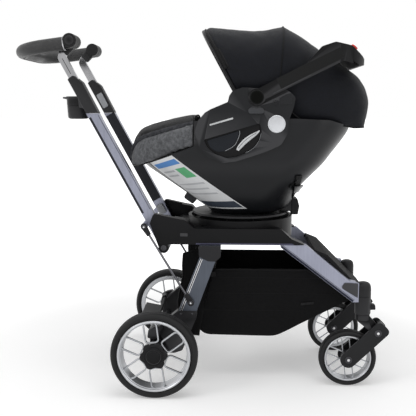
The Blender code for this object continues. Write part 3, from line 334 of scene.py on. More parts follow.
def metal(name, colour, roughness, metallic, lines=400.0, bump=0.05):
    return material(name, drawn, {"Color": colour, "Roughness": roughness, "Lines": lines}, bump, 0.0002,
                    Metallic=metallic, Specular_IOR_Level=0.5)


def plastic(name, colour, roughness, grain=900.0, edge_wear_and_highlight=0.3, bump=0.18, **plain):
    return material(name, moulded, {"Color": colour, "Roughness": roughness, "Grain": grain,
                                    "Wear": edge_wear_and_highlight}, bump, 0.0003, **plain)


def swept(path, section, side, closed=False):
    """Section of (a, b) points along a path: a lies along side, b is square to both."""
    path, side = [Vector(point) for point in path], Vector(side).normalized()
    rows, count = [], len(path)
    for index, point in enumerate(path):
        before = path[index - 1] if index or closed else point
        after = path[(index + 1) % count] if index + 1 < count or closed else point
        run = ((after - point).normalized() + (point - before).normalized()).normalized()
        reach = (point - before if (point - before).length > 0 else after - point).normalized()
        square = run.cross(side).normalized() / max(0.6, run.dot(reach))
        rows.append([point + side * a + square * b for a, b in section])
    return rings(rows, closed=closed)


def oblong(a, b, radius, steps=3):
    """Closed outline of a rectangle 2a by 2b with round corners."""
    outline = []
    for index, (x, y) in enumerate(((1, 1), (-1, 1), (-1, -1), (1, -1))):
        for step in range(steps + 1):
            angle = math.pi / 2 * (index + step / steps)
            outline.append((x * (a - radius) + radius * math.cos(angle),
                            y * (b - radius) + radius * math.sin(angle)))
    return outline


rim_paint = metal("silver rim paint", (0.52, 0.53, 0.55), 0.32, 0.85, 900.0)
spoke_silver = metal("spoke silver", (0.40, 0.41, 0.43), 0.30, 0.9, 900.0)
RIMS = {"rear": dict(well=((0.1066, 0.0192), (0.1050, 0.0207), (0.1015, 0.0207), (0.0996, 0.0193),
                           (0.0988, 0.0160), (0.0972, 0.0150), (0.0950, 0.0030), (0.0932, -0.0090),
                           (0.0924, -0.0165), (0.0940, -0.0185), (0.1066, -0.0185)),
                     loop=(0.038, 0.0975, 0.0190, 0.010), wire=(0.0045, 0.0021), out=0.0070),
        "front": dict(well=((0.0702, 0.0147), (0.0692, 0.0158), (0.0668, 0.0158), (0.0655, 0.0147),
                            (0.0650, 0.0120), (0.0640, 0.0110), (0.0628, 0.0020), (0.0618, -0.0070),
                            (0.0616, -0.0125), (0.0628, -0.0140), (0.0702, -0.0140)),
                      loop=(0.014, 0.0645, 0.0115, 0.006), wire=(0.0032, 0.0016), out=0.0048)}
FIRST_LOOP = math.radians(-83)


def wire_loops(kind, sign):
    """Six long loops of flat wire round the hub, each standing a little out of the wheel's middle."""
    low, high, half, corner = RIMS[kind]["loop"]
    loops = []
    for index in range(6):
        angle = FIRST_LOOP + math.radians(60 * index)
        along = Vector((math.cos(angle), 0, math.sin(angle)))
        aside = Vector((-along.z, 0, along.x))
        middle = hub_at(kind, sign) + along * (low + high) / 2 + Vector((0, sign * RIMS[kind]["out"], 0))
        line = [middle + along * a + aside * b for a, b in oblong((high - low) / 2, half, corner, 5)]
        loops.append(swept(line, oblong(*RIMS[kind]["wire"], 0.0012), (0, 1, 0), closed=True))
    return merged(loops)


for kind, rim in RIMS.items():
    pair(f"{kind}_rim_ring_", lambda sign: lathe(rim["well"], hub_at(kind, sign), 96, sign, closed=True),
         rim_paint, f"{kind}_wheel_", f"{kind}_rim_", slot="silver_rim", crease=30)
    pair(f"{kind}_wire_loops_", lambda sign: wire_loops(kind, sign), spoke_silver, f"{kind}_wheel_",
         slot="silver_rim", crease=50)


# Rear hubs: a black cap with a stepped, bare middle clipped over the barrel that turns on the
# axle boss. Front hubs are plain grey barrels between the arms.
def slab(outline, low, high):
    """Side outline in X and Z drawn out across the stroller."""
    return rings([[(x, y, z) for x, z in outline] for y in (low, high)])


hub_black = plastic("hub black", (0.008, 0.008, 0.009), 0.34, 1200.0, 0.2, 0.08)
HUB_CAP = ((0.0280, 0.0180), (0.0285, 0.0210), (0.0270, 0.0224), (0.0215, 0.0228), (0.0205, 0.0216),
           (0.0185, 0.0216), (0.0175, 0.0232), (0.0120, 0.0238), (0.0004, 0.0238))
HUB_BARREL = ((0.0285, 0.0120), (0.0285, -0.0120), (0.0205, -0.0130), (0.0200, -0.0445),
              (0.0004, -0.0445))
FRONT_HUB = ((0.0005, 0.0208), (0.0165, 0.0208), (0.0175, 0.0195), (0.0175, -0.0195),
             (0.0165, -0.0208), (0.0005, -0.0208))
lobes = []
for step in range(96):
    angle = math.tau * step / 96
    radius = 0.0375 - 0.0035 * math.cos(6 * (angle - FIRST_LOOP))
    lobes.append((radius * math.cos(angle), WHEEL_AT["rear"][2] + radius * math.sin(angle)))


def rear_hub(sign):
    at = hub_at("rear", sign)
    star = slab(lobes, at.y + sign * 0.0112, at.y + sign * 0.0190)
    return merged([star, lathe(HUB_CAP, at, sign=sign), lathe(HUB_BARREL, at, sign=sign)])


pair("rear_hub_", rear_hub, hub_black, "rear_wheel_", "rear_hub_cap_", slot="satin_black_plastic",
     crease=30, bevel=0.0012)
pair("front_hub_", lambda sign: lathe(FRONT_HUB, hub_at("front", sign)), hub_black, "front_wheel_",
     slot="silver_rim", crease=30)

# Casters: the fork's stem turns in a domed black housing on the front leg, and a pair of flat
# arms with large bolts carries each wheel. The solids of forks and arms keep their shape.
black = plastic("black moulding", (0.007, 0.007, 0.008), 0.46)
satin = plastic("satin black moulding", (0.009, 0.009, 0.010), 0.38, 1100.0)
dark_bolt = metal("black zinc", (0.05, 0.05, 0.055), 0.35, 0.8)
bright = metal("bright metal", (0.62, 0.62, 0.63), 0.22, 1.0, 90.0, 0.01)


def sided(*names):
    """The names themselves, and the left and right one for each name that ends in _."""
    return [name + side for name in names for side in (("left", "right") if name[-1] == "_" else ("",))]


def keep(finish, bevel, *names):
    """A node of the frame keeps its form and gets rounded edges and its real finish."""
    for node in (frame["nodes"][name] for name in sided(*names)):
        node.material_slots[0].material = finish
        weld = node.modifiers.new("weld", "WELD")
        weld.merge_threshold = 0.00002
        whole = node.modifiers.new("whole faces", "DECIMATE")
        whole.decimate_type, whole.angle_limit = "DISSOLVE", math.radians(1.5)
        rounded(node, bevel)


def corners(points, radius=0.0, steps=4):
    """Closed outline with arcs for corners; a point's third value is its own radius."""
    outline, count = [], len(points)
    for index, point in enumerate(points):
        corner, reach = Vector(point[:2]), point[2] if len(point) > 2 else radius
        before = Vector(points[index - 1][:2]) - corner
        after = Vector(points[(index + 1) % count][:2]) - corner
        half = before.angle(after) / 2
        trim = min(reach / math.tan(half), 0.48 * before.length, 0.48 * after.length)
        if trim < 1e-5:
            outline.append(corner)
            continue
        reach = trim * math.tan(half)
        centre = corner + (before.normalized() + after.normalized()).normalized() * (
            reach / math.sin(half))
        start = corner + before.normalized() * trim - centre
        end = corner + after.normalized() * trim - centre
        first = math.atan2(start.y, start.x)
        turn = (math.atan2(end.y, end.x) - first + math.pi) % math.tau - math.pi
        outline += [centre + reach * Vector((math.cos(first + turn * step / steps),
                                             math.sin(first + turn * step / steps)))
                    for step in range(steps + 1)]
    return outline


CASTER_X, CASTER_Y = 0.6147, 0.148
DOME = ((0.0005, 0.3214), (0.0090, 0.3209), (0.0155, 0.3188), (0.0200, 0.3150), (0.0226, 0.3085),
        (0.0236, 0.3000), (0.0237, 0.2800), (0.0231, 0.2794), (0.0231, 0.2780), (0.0237, 0.2774),
        (0.0237, 0.2262), (0.0228, 0.2232), (0.0105, 0.2222), (0.0005, 0.2222))
LATCH = corners([(0.632, 0.2360), (0.6525, 0.2365), (0.6505, 0.2520), (0.632, 0.2560)], 0.003)
ARM_BOLT = ((0.0105, 0.0280), (0.0105, 0.0294), (0.0095, 0.0302), (0.0062, 0.0302), (0.0055, 0.0294),
            (0.0005, 0.0294))
ARM_BOLT_CENTRE = ((0.0042, 0.0292), (0.0040, 0.0300), (0.0028, 0.0304), (0.0005, 0.0304))


def arm_bolts(profile, steps):
    """The same bolt at both ends of an arm, on both of its faces."""
    return lambda sign: merged([lathe(profile, (x, sign * CASTER_Y, z), steps, face)
                                for face in (-1, 1) for x, z in ((0.658, 0.170), (0.573, 0.086))])


keep(black, 0.0015, "caster_fork_")
keep(satin, 0.0030, "front_arm_")
pair("caster_dome_", lambda sign: lathe(DOME, (CASTER_X, sign * CASTER_Y, 0), 48, upright=True), satin,
     "chassis", "caster_housing_", slot="satin_black_plastic", crease=30)
pair("caster_latch_", lambda sign: slab(LATCH, sign * CASTER_Y - 0.008, sign * CASTER_Y + 0.0078),
     black, "chassis", bevel=0.0012)
pair("arm_bolt_", arm_bolts(ARM_BOLT, 32), dark_bolt, "front_swing_", crease=30)
pair("arm_bolt_centre_", arm_bolts(ARM_BOLT_CENTRE, 20), bright, "front_swing_", crease=30)

# Front legs: flat blue-grey aluminium extrusions with a dark channel along their lower edge. A
# moulded knuckle wraps the foot of each leg and takes the caster housing.
leg_metal = metal("lavender grey anodising", (0.27, 0.28, 0.345), 0.42, 0.75, 260.0, 0.12)
dark_channel = plastic("dark channel", (0.014, 0.017, 0.034), 0.4, 1200.0, 0.1)
knuckle_grey = plastic("grey knuckle", (0.050, 0.050, 0.053), 0.55)
LEG_EDGE, LEG_FACE = ((0.581, 0.262), (0.366, 0.426)), 0.166
LEG_WRAP = corners([(0.5465, 0.3060, 0.006), (0.5560, 0.3215, 0.006), (0.5960, 0.3200),
                    (0.5960, 0.2760), (0.5790, 0.2860, 0.010)])


def strip(start, end, near, far):
    """Outline of a flat strip beside a line of the side view, from one distance off it to another."""
    start, end = Vector(start), Vector(end)
    run = (end - start).normalized()
    off = Vector((run.y, -run.x))
    return [start + off * near, end + off * near, end + off * far, start + off * far]


def proud(outline, face, sign, height, sunk=0.001):
    """Plate let into an outer face, standing a little proud of it."""
    return slab(outline, sign * (face - sunk), sign * (face + height))


def plates(name, outline, face, height, finish, body, bevel=0.0, sunk=0.001, slot=None):
    """Such a plate on the left and the right face."""
    return pair(name, lambda sign: proud(outline, face, sign, height, sunk), finish, body, bevel=bevel,
                slot=slot)


keep(leg_metal, 0.0012, "front_leg_")
plates("front_leg_channel_", strip(*LEG_EDGE, 0.0008, 0.0068), LEG_FACE, 0.0006, dark_channel,
       "chassis", 0.0003)
plates("front_leg_line_", strip(*LEG_EDGE, 0.0082, 0.0094), LEG_FACE, 0.0004, dark_channel, "chassis")
plates("leg_knuckle_", LEG_WRAP, LEG_FACE, 0.0042, knuckle_grey, "chassis", 0.0022)

# Rear legs: wider blue-grey extrusions with two bright strips along the rear edge as a painted highlight,
# a glossy black block under the chassis, and the moulded axle brackets riveted on below.
rear_metal = metal("blue grey anodising", (0.075, 0.085, 0.105), 0.40, 0.75, 260.0, 0.12)
gloss_black = plastic("gloss black moulding", (0.005, 0.005, 0.007), 0.24, 1500.0, 0.1, 0.03,
                      Specular_IOR_Level=0.2)
REAR_EDGE, REAR_FACE, HIGHLIGHT_STRIP = ((0.0655, 0.2353), (0.1272, 0.3960)), 0.184, 0.0016
LEG_BLOCK = corners([(0.1248, 0.4332, 0.004), (0.1900, 0.4332), (0.1900, 0.4000, 0.008),
                     (0.1750, 0.3860, 0.004), (0.1520, 0.3870, 0.02), (0.1262, 0.4005, 0.003)])
RIVET = ((0.0036, 0.1858), (0.0036, 0.1870), (0.0026, 0.1880), (0.0004, 0.1883))
keep(rear_metal, 0.0015, "rear_leg_")
keep(satin, 0.0018, "axle_bracket_")
keep(black, 0.0010, "rear_axle_beam")
# Two bright metal strips along each leg's rear edge: a painted highlight on that edge.
pair("rear_leg_highlight_strips_", lambda sign: merged([
    proud(strip(*REAR_EDGE, near, near + HIGHLIGHT_STRIP), REAR_FACE, sign, 0.0008) for near in (0.0038, 0.0085)]),
    bright, "chassis", bevel=0.0003)
plates("rear_leg_groove_", strip(*REAR_EDGE, 0.0056, 0.0083), REAR_FACE, 0.0003, gloss_black, "chassis")
plates("rear_leg_block_", LEG_BLOCK, REAR_FACE, 0.0016, gloss_black, "chassis", 0.0007)
pair("bracket_rivets_", lambda sign: merged([lathe(RIVET, (x, 0, 0.2265), 20, sign)
                                             for x in (0.0720, 0.1050)]),
     dark_bolt, "chassis", crease=30)

# Brake: a dark grey moulded cross bar with a pedal between the wheels and a hook at each end, hung
# from the axle brackets so that it swings down as one.
brake_grey = plastic("dark grey moulding", (0.016, 0.016, 0.017), 0.5)
keep(brake_grey, 0.0012, "brake_pedal")

# Chassis body: one large black moulding with the rear towers, the ring under the seat and the
# bridge to the front legs. A dark blue strip is let into its lower edge.
body_black = plastic("chassis black", (0.0045, 0.0045, 0.005), 0.42, 1300.0, 0.15, 0.12,
                     Specular_IOR_Level=0.10)
blue_strip = metal("blue strip", (0.05, 0.05, 0.085), 0.40, 0.6)
BODY_FACE, UPRIGHT_PIVOT = 0.172, Vector((0.021, 0.423))
EDGE_STRIP = corners([(0.116, 0.4345), (0.4060, 0.4345), (0.4000, 0.4392), (0.116, 0.4388)], 0.0012)
BARE_PLATE = corners([(0.0700, 0.4585), (0.0920, 0.4585), (0.0920, 0.4680), (0.0700, 0.4680)], 0.002)
TOWER_BOLT = ((0.0085, -0.001), (0.0085, 0.0016), (0.0070, 0.0026), (0.0040, 0.0026),
              (0.0034, 0.0014), (0.0004, 0.0014))
keep(body_black, 0.0028, "chassis_body")
keep(black, 0.0010, "hub_spider")
keep(satin, 0.0015, "seat_turntable")
plates("body_edge_strip_", EDGE_STRIP, BODY_FACE, 0.0007, blue_strip, "chassis", 0.0003)
plates("body_badge_blank_", BARE_PLATE, BODY_FACE, 0.0007, knuckle_grey, "chassis", 0.0003)
pair("tower_bolt_", lambda sign: lathe(TOWER_BOLT, (UPRIGHT_PIVOT.x, sign * BODY_FACE, UPRIGHT_PIVOT.y),
                                       32, sign), dark_bolt, "chassis", crease=30)

# Front panel: a dark textile-covered panel between the front legs, with a rolled upper edge.
woven, given, result = effect("woven cloth", Color=(0.02, 0.02, 0.02), Fleck=(0.05, 0.05, 0.05),
                              Mottle=0.3, Threads=4500.0, Roughness=0.85)
spot = place(woven, "TexCoord", out="Object")
apart = woven.nodes.new("ShaderNodeSeparateXYZ")
woven.links.new(spot, apart.inputs[0])
waves = [maths(woven, "SINE", maths(woven, "MULTIPLY", way, given["Threads"])) for way in apart.outputs]
crossed = [maths(woven, "MULTIPLY", waves[a], waves[b]) for a, b in ((0, 2), (0, 1), (1, 2))]
threads = maths(woven, "ADD", maths(woven, "ADD", crossed[0], crossed[1]), crossed[2])
blotch = place(woven, "TexNoise", {"Vector": spot, "Scale": 95.0, "Detail": 6.0, "Roughness": 0.7})
blotch = ranged(woven, blotch, 0.35, 0.65, 0, 1)
dyed = place(woven, "MixRGB", {"Fac": maths(woven, "MULTIPLY", blotch, given["Mottle"]),
                               "Color1": given["Color"], "Color2": given["Fleck"]})
shade = ranged(woven, threads, -1.5, 1.5, 0.86, 1.14)
give(woven, result, Height=threads,
     Color=place(woven, "HueSaturation", {"Value": shade, "Color": dyed}),
     Roughness=maths(woven, "ADD", ranged(woven, blotch, 0, 1, -0.05, 0.05), given["Roughness"]))


def cloth(name, colour, fleck, mottle, threads, roughness=0.85, bump=0.25, **plain):
    return material(name, woven, {"Color": colour, "Fleck": fleck, "Mottle": mottle,
                                  "Threads": threads, "Roughness": roughness}, bump, 0.0003, **plain)


panel_cloth = cloth("panel cloth", (0.012, 0.012, 0.0125), (0.035, 0.035, 0.036), 0.5, 3600.0)
keep(panel_cloth, 0.0040, "front_panel")


# Basket: a black cloth tub slung between the legs. Its sides hang in from a folded hem, with three
# sewn seams along them, and it sags a little between its corners. A blank tab is sewn on.
def through(points, steps):
    """Smooth line through a row of points."""
    points = [Vector(point) for point in points]
    line = []
    for index in range(len(points) - 1):
        a, b = points[max(index - 1, 0)], points[index]
        c, d = points[index + 1], points[min(index + 2, len(points) - 1)]
        for step in range(steps):
            t = step / steps
            line.append(0.5 * (2 * b + (c - a) * t + (2 * a - 5 * b + 4 * c - d) * t * t
                               + (3 * b - a - 3 * c + d) * t ** 3))
    return line + [points[-1]]


def length_of(line):
    return sum((b - a).length for a, b in zip(line, line[1:]))


def evenly(line, count):
    """The same line with a given number of points at equal distances."""
    gone = [0.0]
    for a, b in zip(line, line[1:]):
        gone.append(gone[-1] + (b - a).length)
    made, index = [], 0
    for step in range(count):
        want = gone[-1] * step / (count - 1)
        while index < len(line) - 2 and gone[index + 1] < want:
            index += 1
        share = (want - gone[index]) / max(1e-9, gone[index + 1] - gone[index])
        made.append(line[index].lerp(line[index + 1], min(1.0, share)))
    return made


def cord_round(line, radius, steps=10):
    """Round tube along a line, for piping and seams."""
    rows, line = [], [Vector(p) for p in line]
    for index, point in enumerate(line):
        run = (line[min(index + 1, len(line) - 1)] - line[max(index - 1, 0)]).normalized()
        side = run.cross(Vector((0.31, 0.17, 0.93)) if abs(run.z) < 0.9 else Vector((1, 0, 0)))
        side.normalize()
        rows.append([point + side * a + run.cross(side) * b for a, b in circle(radius, steps)])
    return rings(rows)


basket_cloth = cloth("basket cloth", (0.0035, 0.0035, 0.0038), (0.010, 0.010, 0.0105), 0.45, 5200.0,
                     0.75, Sheen_Weight=0.06, Specular_IOR_Level=0.08)
hem_cloth = cloth("basket hem", (0.0035, 0.0035, 0.0038), (0.007, 0.007, 0.007), 0.2, 5200.0, 0.6)
BASKET_SIDE, BASKET_FLOOR = 0.1394, 0.1345
BASKET_FRONT, BASKET_BEND, BASKET_BACK = (0.5885, 0.2655), (0.449, 0.3540), (0.1695, 0.3540)
BASKET_TOP = BASKET_BACK[1]
UNDER = corners([(0.170, 0.460), (0.449, 0.460), BASKET_FRONT, (0.452, 0.1900, 0.090),
                 (0.357, 0.1350, 0.060), (0.113, 0.1385, 0.034)], steps=9)[2:] + [Vector(BASKET_BACK)]
SEAMS = ((0.3270, 0.163, 0.487), (0.2780, 0.150, 0.565), (0.2230, 0.132, 0.497))
BANDS = (BASKET_TOP, *(z for z, _, _ in SEAMS), BASKET_FLOOR)
outer_line = evenly(UNDER, 60)
rim_line = evenly([Vector(point) for point in (BASKET_FRONT, BASKET_BEND, BASKET_BACK)], 60)


def basket_half(z):
    drop = (BASKET_TOP - z) / (BASKET_TOP - BASKET_FLOOR)
    return BASKET_SIDE * (1 - 0.14 * drop * drop)


def basket_side_point(x, z, sign):
    """Side cloth: bulges between the hem and the seams, with slack folds near the ends."""
    puff = 0.0
    for high, low in zip(BANDS, BANDS[1:]):
        if low <= z <= high:
            puff = 0.0022 * max(0.0, math.sin(math.pi * (z - low) / (high - low))) ** 0.8
    fold = 0.0016 * math.sin(x * 61 + z * 37) * math.sin((z - 0.22) * 31) + 0.0012 * noise.noise(
        Vector((x * 21, sign, z * 34)))
    inward = 0.0026 if z < 0.352 else 0.0
    return Vector((x, sign * (basket_half(z) - inward + puff * 0.8 + fold * 0.7), z))


def basket_floor_point(point, across):
    """Floor cloth: bulges back between the sides, and hangs no lower than the basket's floor."""
    y = across * basket_half(point.y)
    sag = 0.0030 * (1 - across ** 2) + 0.0012 * noise.noise(Vector((point.x * 25, y * 25, 3)))
    inward = (Vector((0.36, 0.30)) - point).normalized()
    back = min(0.0, -sag * inward.x) if point.y > 0.155 else 0.0
    return Vector((point.x + back, y, max(point.y, BASKET_FLOOR)))


shape = bmesh.new()
sides = [[[basket_side_point(*low.lerp(high, step / 14), sign) for step in range(15)]
          for low, high in zip(outer_line, rim_line)] for sign in (-1, 1)]
under = [[right[0], *[basket_floor_point(point, -1 + step / 7) for step in range(1, 14)], left[0]]
         for point, right, left in zip(outer_line, *sides)]
for patch in (*sides, under):
    grid = [[shape.verts.new(point) for point in row] for row in patch]
    for a, b in zip(grid, grid[1:]):
        for step in range(1, 15):
            shape.faces.new((a[step - 1], a[step], b[step], b[step - 1]))
bmesh.ops.remove_doubles(shape, verts=shape.verts, dist=0.00005)
bmesh.ops.recalc_face_normals(shape, faces=shape.faces)
tub = piece("basket_tub", shape, basket_cloth, "chassis", "basket", "basket_cloth", 70, levels=1,
            thick=0.0016)
seams = []
for sign in (-1, 1):
    for z, start, end in SEAMS:
        line = [basket_side_point(start + (end - start) * k / 40, z, sign) for k in range(41)]
        seams.append(cord_round([p + Vector((0, sign * 0.0004, 0)) for p in line], 0.0011, 6))
trims = [piece("basket_seams", merged(seams), hem_cloth, "chassis")]
HEM_Y = BASKET_SIDE - 0.0015
hem = [Vector((p.x, -HEM_Y, p.y - 0.002)) for p in rim_line]
hem_across = [Vector((0.1700, HEM_Y * (k / 6 - 1), BASKET_TOP - 0.002)) for k in range(1, 12)]
whole_hem = hem + hem_across + [Vector((p.x, -p.y, p.z)) for p in reversed(hem)]
trims.append(piece("basket_hem", cord_round(whole_hem, 0.0030), hem_cloth, "chassis"))
STRAP = ((0.128, 0.333), (0.1735, 0.333), (0.1735, 0.349), (0.134, 0.349))
straps = merged([slab(STRAP, sign * 0.1357, sign * 0.1557) for sign in (-1, 1)])
trims.append(piece("basket_straps", straps, hem_cloth, "chassis", bevel=0.001))
TAB = corners([(0.432, 0.2420), (0.470, 0.2465), (0.470, 0.2535), (0.432, 0.2490)], 0.0012)
trims.append(piece("basket_tab_blank", slab(TAB, -0.1352, -0.1378), panel_cloth, "chassis",
                   bevel=0.0004))

# Basket wings: the cloth behind the tub's corners, tied up to the body by a short hanger.
WING = ((0.0760, 0.3980, 0.1560, 0.4240), (0.0735, 0.3600, 0.1640, 0.3700),
        (0.0740, 0.3300, 0.1660, 0.3400), (0.0640, 0.2800, 0.1520, 0.2800),
        (0.0600, 0.2350, 0.1400, 0.2300), (0.0760, 0.1880, 0.1300, 0.1780),
        (0.0960, 0.1440, 0.1240, 0.1400))
HANGER = ((0.1120, 0.4050), (0.1260, 0.4090), (0.1275, 0.4340), (0.1130, 0.4340))


def wing(sign):
    """Rows of the wing's cloth, from its top down, each from the back to the leg."""
    rows = []
    for low_x, low_z, high_x, high_z in through(WING, 5):
        row = [Vector((low_x, low_z)).lerp(Vector((high_x, high_z)), k / 10) for k in range(11)]
        crease = [0.0022 * noise.noise(Vector((p.x * 40, sign, p.y * 26))) for p in row]
        rows.append([Vector((p.x, sign * (0.1310 + out), p.y)) for p, out in zip(row, crease)])
    return rows


trims += pair("basket_wing_", lambda sign: rings(wing(sign), loop=False, caps=False), basket_cloth,
              "chassis", thick=0.0016, crease=80)
trims += pair("basket_wing_hem_", lambda sign: merged([
    cord_round([row[0] for row in wing(sign)], 0.0022, 8), cord_round(wing(sign)[0], 0.0022, 8)]),
    hem_cloth, "chassis", crease=80)
trims += plates("basket_hanger_", HANGER, 0.1300, 0.0022, hem_cloth, "chassis", 0.0006, 0)

# Uprights: lavender anodised rails leaning back from the towers, with a dark insert down the rear
# edge and a fine line down the front one. A dark liner is clipped to each inner face. Silver
# thumb sliders sit at their feet; their heads are plugged into grained black sleeves.
lavender = metal("lavender anodising", (0.25, 0.26, 0.32), 0.36, 0.75, 260.0, 0.10)
rail_dark = plastic("rail insert", (0.013, 0.014, 0.019), 0.45, 1200.0, 0.1)
silver_plastic = plastic("silver plastic", (0.34, 0.35, 0.37), 0.42, 1200.0, 0.2, 0.10)
sleeve_black = plastic("sleeve black", (0.009, 0.009, 0.0095), 0.50, 1000.0, 0.35, 0.25)
UPRIGHT_LEAN, RAIL_LENGTH = math.radians(28.3), 0.4466
RAIL_OUTSIDE, RAIL_INSIDE = 0.148, 0.120
UP_RAIL = Vector((-math.sin(UPRIGHT_LEAN), math.cos(UPRIGHT_LEAN)))
OFF_RAIL = Vector((math.cos(UPRIGHT_LEAN), math.sin(UPRIGHT_LEAN)))


def along_rail(up, off):
    """Point of the side view, up the rail from its pivot and off its centre line."""
    return UPRIGHT_PIVOT + UP_RAIL * up + OFF_RAIL * (off + 0.0034)


def rail_plate(low, high, near, far):
    """Outline on the rail between two heights and two distances off its centre line."""
    return [along_rail(up, off) for up, off in ((low, near), (high, near), (high, far), (low, far))]


def rail_inserts(sign):
    liner = slab(rail_plate(0.118, 0.441, -0.0158, 0.0158), sign * (RAIL_INSIDE + 0.001),
                 sign * (RAIL_INSIDE - 0.0007))
    return merged([proud(rail_plate(0.118, 0.438, -0.0150, -0.0085), RAIL_OUTSIDE, sign, 0.0006),
                   proud(rail_plate(0.118, 0.432, 0.0122, 0.0136), RAIL_OUTSIDE, sign, 0.0004), liner])


keep(lavender, 0.0022, "upright_rail_")
keep(silver_plastic, 0.0018, "fold_slider_")
keep(sleeve_black, 0.0035, "rail_sleeve_")
pair("rail_inserts_", rail_inserts, rail_dark, "uprights", slot="lavender_aluminium", bevel=0.0003)
pair("slider_ribs_", lambda sign: merged([
    slab(rail_plate(up, up + 0.0025, -0.009, 0.005), sign * 0.1095, sign * 0.1075)
    for up in (0.072, 0.078, 0.084, 0.090)]), silver_plastic, "fold_slider_", bevel=0.0006)
RELEASE = corners([along_rail(RAIL_LENGTH + up, off) for up, off in
                   ((0.020, -0.009), (0.020, 0.010), (0.070, 0.011), (0.070, -0.009))], 0.004)
pair("sleeve_release_", lambda sign: slab(RELEASE, sign * 0.1175, sign * 0.1150), silver_plastic,
     "uprights", bevel=0.0009)

# Link rods: thin dark steel rods from the uprights down to the rear legs, with a black rounded end
# fitting and a bolt with a bright centre at each pin.
dark_steel = metal("dark steel", (0.105, 0.105, 0.115), 0.30, 0.9, 300.0, 0.03)
keep(dark_steel, 0.0010, "link_rod_")
LINK_TOP, LINK_FOOT = Vector((-0.034, 0.490)), Vector((0.1017, 0.263))
rod_run = (LINK_TOP - LINK_FOOT).normalized()
rod_side = Vector((-rod_run.y, rod_run.x))
ROD_BOLT = ((0.0064, 0.1950), (0.0064, 0.1972), (0.0052, 0.1982), (0.0036, 0.1982), (0.0032, 0.1972),
            (0.0003, 0.1972))
ROD_BOLT_CENTRE = ((0.0027, 0.1970), (0.0024, 0.1984), (0.0003, 0.1987))


def rod_fittings(sign):
    """Eyes round both pins, each drawn in to the rod."""
    eyes = []
    for at, way in ((LINK_FOOT, rod_run), (LINK_TOP, -rod_run)):
        eye = corners([at - way * 0.0105 + rod_side * 0.0100, at - way * 0.0105 - rod_side * 0.0100,
                       (*(at + way * 0.030 - rod_side * 0.0060), 0.003),
                       (*(at + way * 0.030 + rod_side * 0.0060), 0.003)], 0.0096, 6)
        eyes.append(slab(eye, sign * 0.1866, sign * 0.1954))
    return merged(eyes)


def at_pins(profile, steps):
    return lambda sign: merged([lathe(profile, (at.x, 0, at.y), steps, sign)
                                for at in (LINK_FOOT, LINK_TOP)])


pair("rod_fittings_", rod_fittings, black, "link_rods", bevel=0.0018)
pair("rod_bolts_", at_pins(ROD_BOLT, 28), dark_bolt, "link_rods", crease=30)
pair("rod_bolt_centres_", at_pins(ROD_BOLT_CENTRE, 20), bright, "link_rods", crease=30)

# Handle tubes: flat chromed tubes that slide in the sleeves, grooved down the outer face. A black
# moulded neck covers them from the elbow up to the knuckle.
chrome = metal("chrome", (0.36, 0.36, 0.37), 0.16, 1.0, 90.0, 0.006)
keep(chrome, 0.0030, "handle_tube_")
HANDLE_PIVOT, NECK_Y = Vector((-0.240, 1.022)), 0.1335
ELBOW = along_rail(RAIL_LENGTH + 0.188, 0)
neck_run = (HANDLE_PIVOT - ELBOW).normalized()
NECK = ((0.012, 0.0136, 0.0085), (0.016, 0.0148, 0.0098), (0.045, 0.0150, 0.0102),
        (0.062, 0.0165, 0.0106))


def tube_neck(sign):
    rows = []
    for along, wide, deep in NECK:
        middle = ELBOW + neck_run * along
        row = [(middle + Vector((neck_run.y, -neck_run.x)) * a, b)
               for a, b in oblong(wide, deep, 0.0045, 4)]
        rows.append([Vector((at.x, sign * NECK_Y + b, at.y)) for at, b in row])
    return rings(rows)


GROOVE = rail_plate(RAIL_LENGTH + 0.128, RAIL_LENGTH + 0.178, -0.0008, 0.0010)
plates("tube_groove_", GROOVE, 0.1405, 0.0007, rail_dark, "handle_tubes", sunk=0, slot="chrome_tube")
pair("tube_neck_", tube_neck, sleeve_black, "handle_tubes", bevel=0.0010)

# Knuckles and grip: pebbled black drums with a locking button in each, and a bent bar wrapped in
# dark grey leatherette, sewn along its underside and finished with a bright ring at each end.
pebbled, given, result = effect("pebbled leather", Color=(0.03, 0.03, 0.03), Roughness=0.5, Size=700.0)
spot = place(pebbled, "TexCoord", out="Object")
cells = place(pebbled, "TexVoronoi", {"Vector": spot, "Scale": given["Size"]})
wide = place(pebbled, "TexNoise", {"Vector": spot, "Scale": 14.0, "Detail": 5.0})
# Pebble tops are lightened and the hollows between them darkened, following the relief: painted highlight
# and painted shade in the grain.
value = maths(pebbled, "MULTIPLY", ranged(pebbled, cells, 0.2, 0.7, 1.15, 0.62),
              ranged(pebbled, wide, 0.3, 0.7, 0.85, 1.2))
polish = ranged(pebbled, wide, 0.3, 0.7, 0.06, -0.06)
give(pebbled, result, Height=maths(pebbled, "SUBTRACT", 1.0, cells),
     Color=place(pebbled, "HueSaturation", {"Value": value, "Color": given["Color"]}),
     Roughness=maths(pebbled, "ADD", polish, given["Roughness"]))
leather = material("leatherette", pebbled, {"Color": (0.068, 0.068, 0.069), "Roughness": 0.42,
                                            "Size": 620.0}, 0.5, 0.0006)
knuckle_skin = material("pebbled moulding", pebbled, {"Color": (0.018, 0.018, 0.019),
                                                      "Roughness": 0.5, "Size": 900.0}, 0.35, 0.0004)
keep(knuckle_skin, 0.0022, "handle_knuckle_", "handle_end_")
GRIP_DROP, GRIP_Y, GRIP_R, GRIP_CORNER = math.radians(7.3), 0.166, 0.0193, 0.095
GRIP_FROM, GRIP_BACK = 0.0212 / math.cos(GRIP_DROP), 0.1641 / math.cos(GRIP_DROP)
ACROSS = Vector((0, 1, 0))
grip_run = Vector((-math.cos(GRIP_DROP), 0, -math.sin(GRIP_DROP)))
grip_up = ACROSS.cross(grip_run)
arm_root = Vector((HANDLE_PIVOT.x, 0, 1.0168))
half_grip = [arm_root + grip_run * (GRIP_FROM + on) - ACROSS * GRIP_Y for on in (0.0004, 0.0030)]
